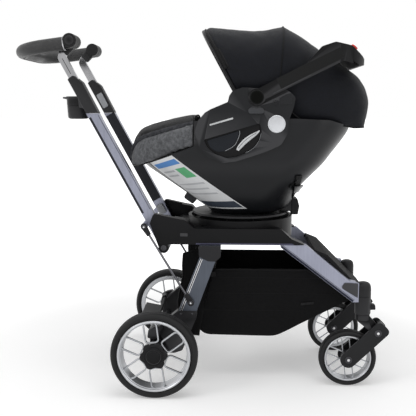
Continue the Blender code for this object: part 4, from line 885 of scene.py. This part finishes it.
for step in range(19):
    angle = math.pi / 2 * step / 18
    half_grip.append(arm_root + grip_run * (GRIP_BACK - GRIP_CORNER * (1 - math.sin(angle)))
                     + ACROSS * (GRIP_CORNER * (1 - math.cos(angle)) - GRIP_Y))
grip_line = half_grip + [Vector((p.x, -p.y, p.z)) for p in reversed(half_grip)]
piece("grip_wrap", swept(grip_line, circle(GRIP_R, 28), grip_up), leather, "handlebar",
      "handlebar_grip", "grip_leatherette", 50, bevel=0.002)
stitches = []
seam_line = evenly([p - grip_up * (GRIP_R + 0.0001) for p in grip_line[1:-1]], 131)
for a, b in zip(seam_line, seam_line[1:]):
    way, aside = b - a, (b - a).cross(grip_up).normalized() * 0.0009
    stitches.append(cord_round([a + way * 0.15 - aside, a + way * 0.85 + aside], 0.00045, 5))
piece("grip_stitches", merged(stitches), panel_cloth, "handlebar")
COLLAR = ((-0.0045, 0.0192), (-0.0038, 0.0201), (-0.0006, 0.0201), (0.0001, 0.0192))
KNUCKLE_BUTTON = ((0.0125, 0.1845), (0.0125, 0.1862), (0.0112, 0.1872), (0.0003, 0.1876))


def turned_along(profile, at, way, steps):
    """Rows of a turned form on a slanted axis: (distance, radius) pairs along it from a point."""
    return [[at + way * along + ACROSS * a + way.cross(ACROSS) * b for a, b in circle(radius, steps)]
            for along, radius in profile]


collars = [rings(turned_along(COLLAR, arm_root + grip_run * GRIP_FROM + ACROSS * (sign * GRIP_Y),
                              grip_run, 40)) for _, sign in SIDES]
piece("grip_collars", merged(collars), chrome, "handlebar", slot="grip_leatherette", crease=30)
studs = [lathe(KNUCKLE_BUTTON, (HANDLE_PIVOT.x, 0, HANDLE_PIVOT.y), 40, sign) for _, sign in SIDES]
piece("knuckle_buttons", merged(studs), satin, "handlebar", crease=30)

# Cup holder: an open black cup with a beaded lip, hooked on the inner face of one sleeve.
CUP_WALL = ((0.0004, 0.8000), (0.0240, 0.8000), (0.0290, 0.8022), (0.0308, 0.8070), (0.0326, 0.8380),
            (0.0321, 0.8384), (0.0322, 0.8400), (0.0328, 0.8404), (0.0334, 0.8560), (0.0343, 0.8590),
            (0.0352, 0.8605), (0.0353, 0.8655), (0.0346, 0.8670), (0.0332, 0.8668), (0.0322, 0.8640),
            (0.0300, 0.8070), (0.0280, 0.8042), (0.0004, 0.8040))
CUP_HOOK = corners([(-0.233, 0.834), (-0.205, 0.828), (-0.212, 0.866), (-0.236, 0.866)], 0.004)
CUP_LUG = corners([(-0.2880, 0.8610), (-0.2740, 0.8585), (-0.2740, 0.8655), (-0.2870, 0.8655)], 0.0018)
cup = lathe(CUP_WALL, (-0.243, -0.0814, 0), upright=True)
piece("cup_shell", merged([cup, slab(CUP_HOOK, -0.1164, -0.1000), slab(CUP_LUG, -0.0874, -0.0754)]),
      satin, "uprights", "cup_holder", "black_plastic", 30)

# Seat shell: one deep satin tub of moulded plastic, boat-shaped at every height, with its rim cut
# low at the foot end and level along the sides.
SHELL_WALL = 0.010
# Height, foot end, head end, half width, and the corners' radii at the foot and at the head
SEAT_LEVELS = ((0.5143, 0.158, 0.345, 0.105, 0.075, 0.075), (0.527, 0.148, 0.385, 0.120, 0.085, 0.090),
               (0.545, 0.1234, 0.402, 0.138, 0.100, 0.100), (0.590, 0.0621, 0.421, 0.172, 0.125, 0.110),
               (0.630, 0.0075, 0.454, 0.196, 0.135, 0.115), (0.667, -0.043, 0.490, 0.206, 0.140, 0.120),
               (0.700, -0.060, 0.515, 0.2077, 0.145, 0.120), (0.744, -0.066, 0.548, 0.2077, 0.145, 0.120),
               (0.779, -0.062, 0.567, 0.2077, 0.145, 0.120), (0.840, -0.062, 0.576, 0.2077, 0.145, 0.120))
RIM_LINE = ((-0.120, 0.6369), (0.1135, 0.7250), (0.1142, 0.795), (0.160, 0.8027), (0.398, 0.8027),
            (0.427, 0.8015), (0.496, 0.7985), (0.573, 0.7765), (0.650, 0.755), (0.650, 0.90),
            (-0.120, 0.90))
SEAT_LATCH = corners([(0.372, 0.5146), (0.4062, 0.5146), (0.4062, 0.555, 0.003),
                      (0.4120, 0.571, 0.004), (0.380, 0.571)])


def boat(z, low, high, side, nose, tail):
    outline = corners([(low, -side, nose), (high, -side, tail), (high, side, tail),
                       (low, side, nose)], steps=14)
    return [(x, y, z) for x, y in outline]


def carved(base, tools):
    """Shape with other shapes taken away from it."""
    work = []
    for shape in (base, *tools):
        work.append(linked("work", bpy.data.meshes.new("work")))
        shape.to_mesh(work[-1].data)
    for tool in work[1:]:
        step = work[0].modifiers.new("take", "BOOLEAN")
        step.operation, step.solver, step.object = "DIFFERENCE", "EXACT", tool
    bpy.context.view_layer.update()
    left = bmesh.new()
    left.from_mesh(work[0].evaluated_get(bpy.context.evaluated_depsgraph_get()).data)
    for holder in work:
        bpy.data.objects.remove(holder, do_unlink=True)
    bmesh.ops.dissolve_limit(left, angle_limit=0.004, verts=left.verts, edges=left.edges)
    return left


inner_levels = [(z, low + SHELL_WALL * 1.7, high - SHELL_WALL * 1.4, side - SHELL_WALL,
                 nose - SHELL_WALL, tail - SHELL_WALL) for z, low, high, side, nose, tail in SEAT_LEVELS]
inner_levels[:2] = [(SEAT_LEVELS[0][0] + SHELL_WALL + 0.002, *inner_levels[0][1:])]
outside, inside = (rings([boat(*level) for level in through(levels, 3)])
                   for levels in (SEAT_LEVELS, inner_levels))
shell_black = plastic("seat shell", (0.0085, 0.009, 0.0105), 0.34, 1500.0, 0.2, 0.07,
                      Specular_IOR_Level=0.20)
shell = piece("seat_tub", carved(outside, [inside, slab(RIM_LINE, -0.3, 0.3)]), shell_black, "seat",
              "seat_shell", "satin_black_plastic", 38, bevel=0.0016)
piece("seat_latch", slab(SEAT_LATCH, -0.035, 0.035), satin, "seat", bevel=0.0020)

# Buttons at the two ends of the seat: a grey one, ribbed for the thumb, slides at the foot end, and
# a pebbled black knob pulls out at the head end.
grey_plastic = plastic("grey plastic", (0.055, 0.057, 0.062), 0.5, 1000.0, 0.2, 0.2)
keep(grey_plastic, 0.0022, "release_button")
keep(knuckle_skin, 0.0022, "recline_knob")

# What lies on the shell: a plain sticker panel with colour bars, two raised belt guides, and a
# short black belt with its buckle at the head end.
shell_skin = BVHTree.FromObject(shell, bpy.context.evaluated_depsgraph_get())


def laid_on(spots, sign, across, along, lift):
    """Patch between four points of the side view (x, z), pressed onto the shell from the side."""
    a, b, c, d = [Vector(spot) for spot in spots]
    rows = []
    for v in range(along + 1):
        row = []
        for u in range(across + 1):
            at = a.lerp(b, u / across).lerp(d.lerp(c, u / across), v / along)
            hit, normal, _, _ = shell_skin.ray_cast(Vector((at.x + AXLE_X, sign * 0.5, at.y)),
                                                    Vector((0, -sign, 0)))
            if hit is None:
                hit, normal, _, _ = shell_skin.find_nearest(Vector((at.x + AXLE_X, sign * 0.2, at.y)))
            if normal.y * sign < 0:
                normal = -normal
            row.append(hit + normal * lift - Vector((AXLE_X, 0, 0)))
        rows.append(row)
    return rings(rows, loop=False, caps=False)


STICKER = [Vector(spot) for spot in ((-0.018, 0.674), (0.050, 0.699), (0.267, 0.536), (0.148, 0.534))]
STICKER_PARTS = (("white", (0.72, 0.73, 0.74), (0, 1, 0, 1)),
                 ("blue", (0.10, 0.25, 0.55), (0.06, 0.94, 0.05, 0.13)),
                 ("green", (0.12, 0.42, 0.20), (0.58, 0.92, 0.19, 0.36)),
                 ("grey_1", (0.45, 0.46, 0.48), (0.08, 0.50, 0.20, 0.23)),
                 ("grey_2", (0.45, 0.46, 0.48), (0.08, 0.46, 0.28, 0.31)),
                 ("grey_3", (0.50, 0.51, 0.53), (0.08, 0.88, 0.46, 0.49)),
                 ("grey_4", (0.50, 0.51, 0.53), (0.08, 0.80, 0.56, 0.59)),
                 ("grey_5", (0.50, 0.51, 0.53), (0.08, 0.84, 0.66, 0.69)),
                 ("dark", (0.05, 0.06, 0.08), (0.04, 0.96, 0.84, 0.97)))
for name, colour, (left, right, top, bottom) in STICKER_PARTS:
    a, b, c, d = STICKER
    spots = [a.lerp(b, u).lerp(d.lerp(c, u), v)
             for u, v in ((left, top), (right, top), (right, bottom), (left, bottom))]
    film = plastic("sticker " + name, colour, 0.35, 2500.0, 0.0, 0.05)
    piece("seat_sticker_" + name, laid_on(spots, -1, 20, 28, 0.0004 if name == "white" else 0.0007),
          film, "seat", crease=80)
BELT = ((0.403, 0.642), (0.423, 0.642), (0.421, 0.562), (0.403, 0.562))
BUCKLE = ((0.399, 0.612), (0.427, 0.612), (0.426, 0.588), (0.399, 0.588))


def belt_guides(sign):
    """Two pairs of short ribs, one rib above the other."""
    return merged([laid_on([(x, z), (x + 0.034, z + 0.006), (x + 0.034, z + 0.003), (x, z - 0.003)],
                           sign, 8, 2, 0.0012)
                   for x, z in ((0.034, 0.742), (0.034, 0.724), (0.086, 0.757), (0.086, 0.739))])


pair("belt_guides_", belt_guides, satin, "seat", thick=0.0016, crease=50)
pair("seat_belt_", lambda sign: laid_on(BELT, sign, 6, 20, 0.0020), hem_cloth, "seat", thick=0.0016,
     crease=60)
pair("belt_buckle_", lambda sign: laid_on(BUCKLE, sign, 8, 8, 0.0055), gloss_black, "seat",
     thick=0.0040, bevel=0.0010)

# Side panels: satin plates with a soft, broad border, clipped on the shell. Each has a D-shaped
# grip pocket with a glossy cup, a ribbed white crescent, a white strip and a bare silver disc.
panel_black = plastic("side panel", (0.0095, 0.010, 0.0115), 0.36, 1300.0, 0.2, 0.10)
white_inlay = plastic("white inlay", (0.62, 0.63, 0.64), 0.4, 1500.0, 0.0, 0.06)
pocket_black = plastic("pocket floor", (0.006, 0.006, 0.0065), 0.55, 800.0, 0.0, 0.25)
pocket_cup = plastic("pocket cup", (0.010, 0.012, 0.016), 0.24, 1500.0, 0.0, 0.05)
PANEL_FACE, POCKET_FLOOR, SLOT_FLOOR, CLEAR = 0.216, 0.2096, 0.2047, 0.24
CARRY_PIVOT, ARM_SLOPE = Vector((0.290, 0.862)), math.radians(26.1)
arm_way = Vector((math.cos(ARM_SLOPE), math.sin(ARM_SLOPE)))
arm_square = Vector((-arm_way.y, arm_way.x))
HUB_LOBE = ((0.398, 0.862, 0.012), (0.372, 0.884, 0.010), (0.250, 0.889, 0.012))
PANEL = corners([(0.1150, 0.7660, 0.03), (0.1270, 0.7240, 0.03), (0.1530, 0.6940, 0.03),
                 (0.1960, 0.6790, 0.03), (0.2330, 0.6830, 0.04), (0.3110, 0.7075, 0.04),
                 (0.3600, 0.7300, 0.03), (0.3780, 0.7620, 0.03), (0.3810, 0.8000, 0.04),
                 (0.3920, 0.8320, 0.02), *HUB_LOBE, (0.2225, 0.8800, 0.008), (0.2130, 0.8660, 0.006),
                 (0.2090, 0.8490, 0.005), (0.1600, 0.8285, 0.02), (0.1450, 0.8195, 0.01),
                 (0.1265, 0.7985, 0.012)], steps=6)
PANEL_BACK = corners([(0.150, 0.8032), (0.380, 0.8032), *HUB_LOBE, (0.2235, 0.8790, 0.008),
                      (0.2140, 0.8660, 0.006), (0.2100, 0.8480, 0.005), (0.1600, 0.8275, 0.01)], steps=6)
POCKET = corners([(0.1415, 0.7440, 0.004), (0.2420, 0.7735, 0.04), (0.2985, 0.7905, 0.006),
                  (0.3045, 0.7680, 0.02), (0.2990, 0.7400, 0.02), (0.2840, 0.7210, 0.02),
                  (0.2640, 0.7080, 0.03), (0.2360, 0.6965, 0.03), (0.2060, 0.6925, 0.03),
                  (0.1740, 0.7035, 0.03), (0.1520, 0.7220, 0.02)], steps=6)
CUP = corners([(0.1500, 0.7420, 0.004), (0.2405, 0.7690, 0.004), (0.2410, 0.7560, 0.02),
               (0.2270, 0.7290, 0.02), (0.2040, 0.7110, 0.02), (0.1780, 0.7090, 0.02),
               (0.1580, 0.7230, 0.02)], steps=6)
OVAL_HOLE = corners([(0.2655, 0.8160), (0.3105, 0.8160), (0.3105, 0.8330), (0.2655, 0.8330)], 0.0082)
slot_low = CARRY_PIVOT - arm_square * 0.0245
ARM_SLOT = [slot_low, slot_low + arm_way * 0.16, slot_low + arm_way * 0.16 + Vector((0, 0.1)),
            (0.2655, 0.962), (0.2655, 0.862)]


def at_bearing(profile, sign, steps):
    """Turned form on the carry handle's bearing."""
    return lathe(profile, (CARRY_PIVOT.x, 0, CARRY_PIVOT.y), steps, sign)


def panel_plate(sign):
    """Both layers of the panel, with the pocket, the arm's slot and the button's hole cut out."""
    tools = [slab(POCKET, sign * CLEAR, sign * (POCKET_FLOOR + 0.0002)),
             at_bearing(((0.0245, CLEAR), (0.0245, SLOT_FLOOR)), sign, 48),
             slab(ARM_SLOT, sign * CLEAR, sign * SLOT_FLOOR), slab(OVAL_HOLE, sign * CLEAR, sign * 0.2040)]
    return merged([carved(slab(outline, sign * outer, sign * inner), tools) for outline, outer, inner in
                   ((PANEL, PANEL_FACE, 0.2080), (PANEL_BACK, 0.2085, 0.1960))])


keep(grey_plastic, 0.0012, "handle_side_button_")
pair("panel_plate_", panel_plate, panel_black, "seat", "side_panel_", slot="satin_black_plastic",
     crease=34, bevel=0.0030)
plates("pocket_floor_", POCKET, POCKET_FLOOR, 0.0005, pocket_black, "seat", 0.0002, 0)
plates("pocket_cup_", CUP, POCKET_FLOOR, 0.0022, pocket_cup, "seat", 0.0016, 0)
# Thin silver cords along the lower edges of the cup and the pocket: painted highlights on those edges.
CUP_EDGE = ((0.2420, 0.7690), (0.2422, 0.7570), (0.2290, 0.7290), (0.2030, 0.7125))
POCKET_EDGE = ((0.2600, 0.7075), (0.2800, 0.7190), (0.2965, 0.7400), (0.3030, 0.7620))
pair("pocket_edge_highlights_", lambda sign: merged([
    cord_round([Vector((x, sign * out, z)) for x, z in evenly(through(line, 8), 24)], radius, 8)
    for line, out, radius in ((CUP_EDGE, 0.2122, 0.0008), (POCKET_EDGE, 0.2148, 0.0005))]),
    silver_plastic, "seat")

# The crescent's middle line with half its width at each point, and ribs over its lower half
CRESCENT = ((0.2372, 0.7142), (0.2400, 0.7195), (0.2465, 0.7278), (0.2580, 0.7398), (0.2720, 0.7508),
            (0.2860, 0.7600), (0.2940, 0.7655), (0.2985, 0.7700))
CRESCENT_HALF = (0.0040, 0.0058, 0.0064, 0.0066, 0.0064, 0.0056, 0.0040, 0.0012)
RIB_EDGE, RIB_HALF = 0.0006, 0.0003
middle_line = evenly(through(CRESCENT, 6), 43)
upper, lower, ribs = [], [], []
for index, at in enumerate(middle_line):
    way = (middle_line[min(index + 1, 42)] - middle_line[max(index - 1, 0)]).normalized()
    off = Vector((-way.y, way.x))
    low = min(index // 6, 6)
    half = CRESCENT_HALF[low] + (CRESCENT_HALF[low + 1] - CRESCENT_HALF[low]) * (index / 6 - low)
    upper.append(at + off * half)
    lower.append(at - off * half)
    if 3 < index < 38:
        ribs.append([at - off * a + way * b for a, b in
                     ((0.0004, -RIB_HALF), (half - RIB_EDGE, -RIB_HALF), (half - RIB_EDGE, RIB_HALF),
                      (0.0004, RIB_HALF))])
groove_line = [a * 0.62 + b * 0.38 for a, b in zip(upper, lower)][3:-5]
pair("pocket_crescent_", lambda sign: merged([
    proud(upper + lower[::-1], POCKET_FLOOR, sign, 0.0038, 0),
    *[proud(rib, POCKET_FLOOR + 0.0036, sign, 0.0008, 0) for rib in ribs]]), white_inlay, "seat",
    bevel=0.0003)
pair("crescent_groove_", lambda sign: cord_round(
    [Vector((p.x, sign * (POCKET_FLOOR + 0.0038), p.y)) for p in groove_line], 0.0006, 6),
    pocket_black, "seat")

STRIP = corners([(0.1590, 0.7828), (0.2250, 0.8019), (0.2237, 0.8064), (0.1577, 0.7872)], 0.0018)
DISC = ((0.0245, 0.2150), (0.0245, 0.2170), (0.0236, 0.2178), (0.0215, 0.2178), (0.0208, 0.2170),
        (0.0150, 0.2176), (0.0003, 0.2182))
HUB_PAD = corners([(0.3520, 0.8400), (0.3870, 0.8430), (0.3880, 0.8740), (0.3700, 0.8695),
                   (0.3520, 0.8600)], 0.005)
HUB_RIDGES = [corners([(x, 0.8390), (x + 0.0018, 0.8390), (x + 0.0030, 0.8545), (x + 0.0012, 0.8545)],
                      0.0008) for x in (0.3350, 0.3395, 0.3440)]
plates("panel_strip_", STRIP, PANEL_FACE, 0.0006, white_inlay, "seat", 0.0003)
pair("panel_disc_", lambda sign: lathe(DISC, (0.346, 0, 0.788), 56, sign), rim_paint, "seat",
     slot="silver_plastic", crease=30)
pair("hub_ridges_", lambda sign: merged([
    proud(HUB_PAD, PANEL_FACE, sign, 0.0014),
    *[proud(ridge, PANEL_FACE, sign, 0.0012) for ridge in HUB_RIDGES]]), panel_black, "seat",
    bevel=0.0005)

# Carry handle: a matt olive-black moulding, with a grey line along each arm that is a painted highlight,
# and a hub cover at each bearing. The ring button in its near corner is coral with a black middle.
olive_black = plastic("olive black", (0.0050, 0.0052, 0.0046), 0.62, 1000.0, 0.2, 0.25,
                      Specular_IOR_Level=0.03)
coral = plastic("coral", (0.68, 0.055, 0.045), 0.38, 1800.0, 0.0, 0.05)
CARRY_FACE, root = 0.217, CARRY_PIVOT + arm_square * 0.004
ARM_BAND = strip(root + arm_way * 0.070, root + arm_way * 0.262, -0.0180, 0.0125)
ARM_HIGHLIGHT_LINE = strip(root + arm_way * 0.045, root + arm_way * 0.160, 0.0142, 0.0152)
HUB_COVER = ((0.0205, 0.2160), (0.0200, 0.2174), (0.0185, 0.2179), (0.0100, 0.2183), (0.0003, 0.2184))
keep(body_black, 0.0040, "carry_handle")
keep(coral, 0.0012, "ring_button")
plates("arm_band_", ARM_BAND, CARRY_FACE, 0.0006, olive_black, "carry_handle", 0.0004,
       slot="black_plastic")
# A thin grey strip along the upper edge of each arm's band: a painted highlight.
plates("arm_highlight_line_", ARM_HIGHLIGHT_LINE, CARRY_FACE, 0.0008, grey_plastic, "carry_handle", slot="black_plastic")
pair("hub_cover_", lambda sign: at_bearing(HUB_COVER, sign, 48), olive_black, "carry_handle",
     slot="black_plastic", crease=30)
BUTTON_AT, BUTTON_WAY = Vector((0.558, -0.176, 0.9965)), Vector((0.616, 0, 0.788)).normalized()
BUTTON_RING = ((0.0030, 0.0098), (0.0070, 0.0098), (0.0080, 0.0090), (0.0080, 0.0076),
               (0.0070, 0.0070), (0.0046, 0.0066), (0.0030, 0.0066))
BUTTON_MIDDLE = ((0.0035, 0.0064), (0.0047, 0.0064), (0.0052, 0.0056), (0.0050, 0.0030))
piece("ring_button_collar", rings(turned_along(BUTTON_RING, BUTTON_AT, BUTTON_WAY, 40), closed=True),
      coral, "ring_button", slot="coral_plastic", crease=50)
piece("ring_button_middle", rings(turned_along(BUTTON_MIDDLE, BUTTON_AT, BUTTON_WAY, 32)), satin,
      "ring_button", slot="coral_plastic", crease=30)


# Hood: thin black cloth stretched over a fixed frame at the head end and over a bow in front. The
# two halves meet in a piped seam over the crown; the front edge is folded into a thick hem.
def arch(foot, crown, half_width, squareness, angles):
    """Half hoop from one side to the other, standing on the line from foot to crown."""
    foot, crown = Vector(foot), Vector(crown)
    points = []
    for angle in angles:
        lean, lift = math.cos(math.radians(angle)), max(0.0, math.sin(math.radians(angle)))
        across = math.copysign(abs(lean) ** squareness, lean) * half_width
        point = foot + (crown - foot) * (0 if lift < 1e-6 else lift ** squareness)
        points.append(Vector((point.x, across, point.y)))
    return points


def bent(hoops, steps, squareness, angles):
    """Rows of hoops, smoothly interpolated; each hoop is (foot x, z, crown x, z, half width)."""
    return [arch(h[:2], h[2:4], h[4], squareness, angles) for h in through(hoops, steps)]


def creased(rows, depth, seed, wave=38):
    """Rows of cloth points moved a little along their own normals, except at the first and last row."""
    moved, last = [], len(rows) - 1
    for i, row in enumerate(rows):
        free = min(1.0, 4 * i / len(rows), 4 * (last - i) / len(rows))
        line = []
        for j, point in enumerate(row):
            along = rows[min(i + 1, last)][j] - rows[max(i - 1, 0)][j]
            across = row[min(j + 1, len(row) - 1)] - row[max(j - 1, 0)]
            normal = along.cross(across)
            push = noise.noise(point * wave + Vector((seed, 0, 0))) - 0.35 * abs(
                noise.noise(point * wave * 1.9 + Vector((0, seed, 0))))
            lifted = point + normal.normalized() * depth * push * free
            line.append(point if normal.length < 1e-9 else lifted)
        moved.append(line)
    return moved


CANOPY_SIDE, HOOP_ANGLES = 0.1953, [180 * step / 40 for step in range(41)]
REAR_HOOPS = ((0.3517, 0.876, 0.3692, 1.0712, CANOPY_SIDE), (0.370, 0.850, 0.425, 1.040, CANOPY_SIDE),
              (0.388, 0.822, 0.480, 1.001, CANOPY_SIDE), (0.427, 0.794, 0.572, 0.942, 0.191),
              (0.480, 0.789, 0.607, 0.905, 0.184), (0.535, 0.782, 0.625, 0.850, 0.166),
              (0.573, 0.776, 0.614, 0.777, 0.142))
FRONT_HOOPS = ((0.2345, 0.883, 0.1405, 1.0615, CANOPY_SIDE), (0.2405, 0.881, 0.158, 1.069, CANOPY_SIDE),
               (0.266, 0.874, 0.215, 1.064, CANOPY_SIDE), (0.300, 0.872, 0.295, 1.059, CANOPY_SIDE),
               (0.330, 0.874, 0.338, 1.065, CANOPY_SIDE), (0.3512, 0.876, 0.3685, 1.071, CANOPY_SIDE))
canopy_cloth = cloth("canopy cloth", (0.0040, 0.0045, 0.0062), (0.009, 0.010, 0.015), 0.5, 5200.0, 0.60,
                     0.3, Sheen_Weight=0.10, Sheen_Roughness=0.4, Specular_IOR_Level=0.12)
trim_black = cloth("trim", (0.0035, 0.0035, 0.0038), (0.008, 0.008, 0.008), 0.3, 6000.0, 0.55)
rear_rows = creased(bent(REAR_HOOPS, 7, 0.6, HOOP_ANGLES), 0.0016, 3)
front_rows = creased(bent(FRONT_HOOPS, 7, 0.6, HOOP_ANGLES), 0.0016, 11)
hood_rear = piece("hood_rear", rings(rear_rows, loop=False, caps=False), canopy_cloth, "seat",
                  "canopy_rear", "canopy_cloth", 80, thick=0.0014)
hood_front = piece("hood_front", rings(front_rows, loop=False, caps=False), canopy_cloth, None,
                   "canopy_front", "canopy_cloth", 80, thick=0.0014)
seam = piece("hood_seam", cord_round([p + Vector((0.0003, 0, 0.0006)) for p in front_rows[-1]], 0.0016, 8),
             trim_black, "seat", crease=80)
hem_line = front_rows[0]
hem = piece("hood_hem", cord_round(hem_line[2:-2], 0.0042, 12), trim_black, "canopy_bow", crease=80)
edge_line = [row[0] for row in rear_rows] + rear_rows[-1][1:] + [row[-1] for row in rear_rows[::-1]][1:]
edge = piece("hood_edge_piping", cord_round(edge_line, 0.0020, 8), trim_black, "seat", crease=80)
tab_rows = [[point + Vector((0.0045 + 0.0075 * u, -0.0016 - 0.0004 * u, -0.001))
             for point in hem_line[33:39]] for u in range(2)]
tab = piece("hood_tab_blank", rings(tab_rows, loop=False, caps=False), panel_cloth, "canopy_bow",
            crease=80, thick=0.0008)
keep(black, 0.0010, "canopy_bow")
for hood, rows, trims in ((hood_rear, rear_rows, [seam, edge]), (hood_front, front_rows, [hem, tab])):
    wide, long = max(map(length_of, rows)), max(map(length_of, zip(*rows)))
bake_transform(hood_front)


# Foot cover and seat pad: padded cloth. The cover has mottled grey sides, a black top and a soft
# roll between them, piped along its free edges. The pad is sewn into channels over its length.
def filled(shape, thick):
    """Closed padded solid from a one-sided patch: its other side lies `thick` further in."""
    bmesh.ops.translate(shape, vec=(AXLE_X, 0, 0), verts=shape.verts)
    holder = linked("filling", bpy.data.meshes.new("filling"))
    shape.to_mesh(holder.data)
    shape.free()
    if thick:
        solid = holder.modifiers.new("thickness", "SOLIDIFY")
        solid.thickness, solid.offset = thick, -1
    even = holder.modifiers.new("even", "REMESH")
    even.mode, even.voxel_size = "VOXEL", 0.0045
    return holder


def settled(holders, frames=16, limit=0.0045):
    """Blows the padded pieces up gently in one run and returns their meshes."""
    bpy.context.view_layer.update()
    graph = bpy.context.evaluated_depsgraph_get()
    for holder in holders:
        mesh = bpy.data.meshes.new_from_object(holder.evaluated_get(graph))
        holder.modifiers.clear()
        holder.data = mesh
        soft = holder.modifiers.new("soft", "CLOTH")
        soft.settings.quality, soft.settings.mass = 4, 0.25
        soft.settings.tension_stiffness = soft.settings.compression_stiffness = 12
        soft.settings.bending_stiffness = 1.2
        soft.settings.use_pressure, soft.settings.uniform_pressure_force = True, 4.0
        soft.settings.effector_weights.gravity = 0
        soft.point_cache.frame_start, soft.point_cache.frame_end = 1, frames
    for frame_number in range(1, frames + 1):
        bpy.context.scene.frame_set(frame_number)
    graph = bpy.context.evaluated_depsgraph_get()
    meshes = []
    for holder in holders:
        mesh = bpy.data.meshes.new_from_object(holder.evaluated_get(graph))
        for rest, vertex in zip(holder.data.vertices, mesh.vertices):
            move = vertex.co - rest.co
            if move.length > limit:
                vertex.co = rest.co + move * (limit / move.length)
        meshes.append(mesh)
    for holder in holders:
        bpy.data.objects.remove(holder, do_unlink=True)
    bpy.context.scene.frame_set(1)
    return meshes


# Each row of the cover is its place, its lower edge, its top and half its width
COVER = ((-0.0848, 0.6700, 0.6790, 0.012), (-0.0846, 0.6650, 0.6890, 0.042),
         (-0.0825, 0.6605, 0.7005, 0.070), (-0.0755, 0.6620, 0.7280, 0.098),
         (-0.0655, 0.6635, 0.7495, 0.119), (-0.0495, 0.6655, 0.7685, 0.139),
         (-0.010, 0.6800, 0.7835, 0.169), (0.040, 0.6985, 0.7965, 0.190),
         (0.1125, 0.7262, 0.8112, 0.2055))
ROLL, SIDE_STEPS, TOP_STEPS = 33, 7, 24
cover_angles = [ROLL * k / SIDE_STEPS for k in range(SIDE_STEPS)]
cover_angles += [ROLL + (180 - 2 * ROLL) * k / TOP_STEPS for k in range(TOP_STEPS)]
cover_angles += [180 - ROLL + ROLL * k / SIDE_STEPS for k in range(SIDE_STEPS + 1)]
cover_rows = bent([(x, low, x, top, side) for x, low, top, side in COVER], 6, 0.5, cover_angles)
PAD_LINE = ((-0.010, 0.6815), (0.060, 0.6285), (0.150, 0.5635), (0.198, 0.5285), (0.250, 0.5280),
            (0.306, 0.5285), (0.372, 0.5510), (0.412, 0.6160), (0.452, 0.6660), (0.496, 0.7160),
            (0.524, 0.7590))
PAD_HALF, PAD_THICK, PAD_LEAST = 0.0792, 0.022, 0.003
pad_path = through(PAD_LINE, 5)
pad_last = len(pad_path) - 1
pad_rows = []
for step in range(37):
    spread = -1 + step / 18
    channel = 0.62 + 0.38 * abs(math.cos(1.5 * math.pi * spread)) ** 0.5
    under, over = [], []
    for index, point in enumerate(pad_path):
        ahead = pad_path[min(index + 1, pad_last)] - pad_path[max(index - 1, 0)]
        tuft = 0.80 + 0.20 * abs(math.sin(math.pi * index / 7.0)) ** 0.6
        ends = math.sin(math.pi * min(1.0, 0.25 + index / 6, 0.25 + (pad_last - index) / 6) / 2)
        swell = PAD_LEAST + PAD_THICK * (1 - abs(spread) ** 3.4) * channel * tuft * ends
        top = point + Vector((-ahead.y, ahead.x)).normalized() * swell
        under.append(Vector((point.x, spread * PAD_HALF, point.y)))
        over.append(Vector((top.x, spread * PAD_HALF, top.y)))
    pad_rows.append(under + over[::-1])
TOP_END = SIDE_STEPS + TOP_STEPS
soft_shapes = []
for first, last, depth, seed, wave, thick in ((SIDE_STEPS, TOP_END, 0.0022, 5, 26, 0.009),
                                              (0, SIDE_STEPS, 0.0018, 9, 30, 0.008),
                                              (TOP_END, TOP_END + SIDE_STEPS, 0.0018, 9, 30, 0.008)):
    band = creased([row[first:last + 1] for row in cover_rows], depth, seed, wave)
    soft_shapes.append(filled(rings(band, loop=False, caps=False), thick))
soft_shapes.append(filled(rings(pad_rows), 0))
cover_black = cloth("cover top", (0.005, 0.005, 0.0055), (0.013, 0.0135, 0.015), 0.6, 4200.0, 0.8,
                    Sheen_Weight=0.15)
melange = cloth("melange", (0.060, 0.062, 0.067), (0.19, 0.195, 0.205), 0.75, 2600.0, 0.9, 0.4,
                Sheen_Weight=0.2)
dark_melange = cloth("dark melange", (0.024, 0.025, 0.028), (0.085, 0.087, 0.095), 0.75, 2600.0, 0.9, 0.4)
charcoal = cloth("charcoal padding", (0.020, 0.021, 0.023), (0.060, 0.062, 0.066), 0.7, 3000.0, 0.9)
SOFT = (("foot_cover_top", cover_black, "foot_cover", "melange_cloth", 0.5),
        ("foot_cover_side_left", melange, "foot_cover", "melange_cloth", 0.5),
        ("foot_cover_side_right", melange, "foot_cover", "melange_cloth", 0.5),
        ("seat_pad_cushion", charcoal, "seat_pad", "charcoal_padding", 0.6))
for (name, finish, stands_for, slot, fill), mesh in zip(SOFT, settled(soft_shapes)):
    mesh.name = name
    mesh.shade_smooth()
    mesh.materials.clear()
    mesh.materials.append(finish)
    cushion = linked(name, mesh)
    round_out = cushion.modifiers.new("smooth", "SUBSURF")
    round_out.levels = round_out.render_levels = 1
    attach(cushion, "seat")
    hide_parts(stands_for)


def cover_cord(column, sign, radius):
    """Cord along one column of the cover's points, counted from the left or from the right."""
    line = [row[column if sign > 0 else -1 - column] for row in cover_rows[2:]]
    return cord_round([point - ACROSS * sign * 0.0035 for point in line], radius)


pair("foot_cover_roll_", lambda sign: cover_cord(SIDE_STEPS, sign, 0.0080), dark_melange, "seat",
     crease=80)
pair("foot_cover_bottom_piping_", lambda sign: cover_cord(0, sign, 0.0020), trim_black, "seat",
     crease=80)
hip_edge = [point + Vector((-0.001, 0, -0.001)) for point in cover_rows[-1]]
piece("foot_cover_hip_piping", cord_round(hip_edge, 0.0026), trim_black, "seat", crease=80)
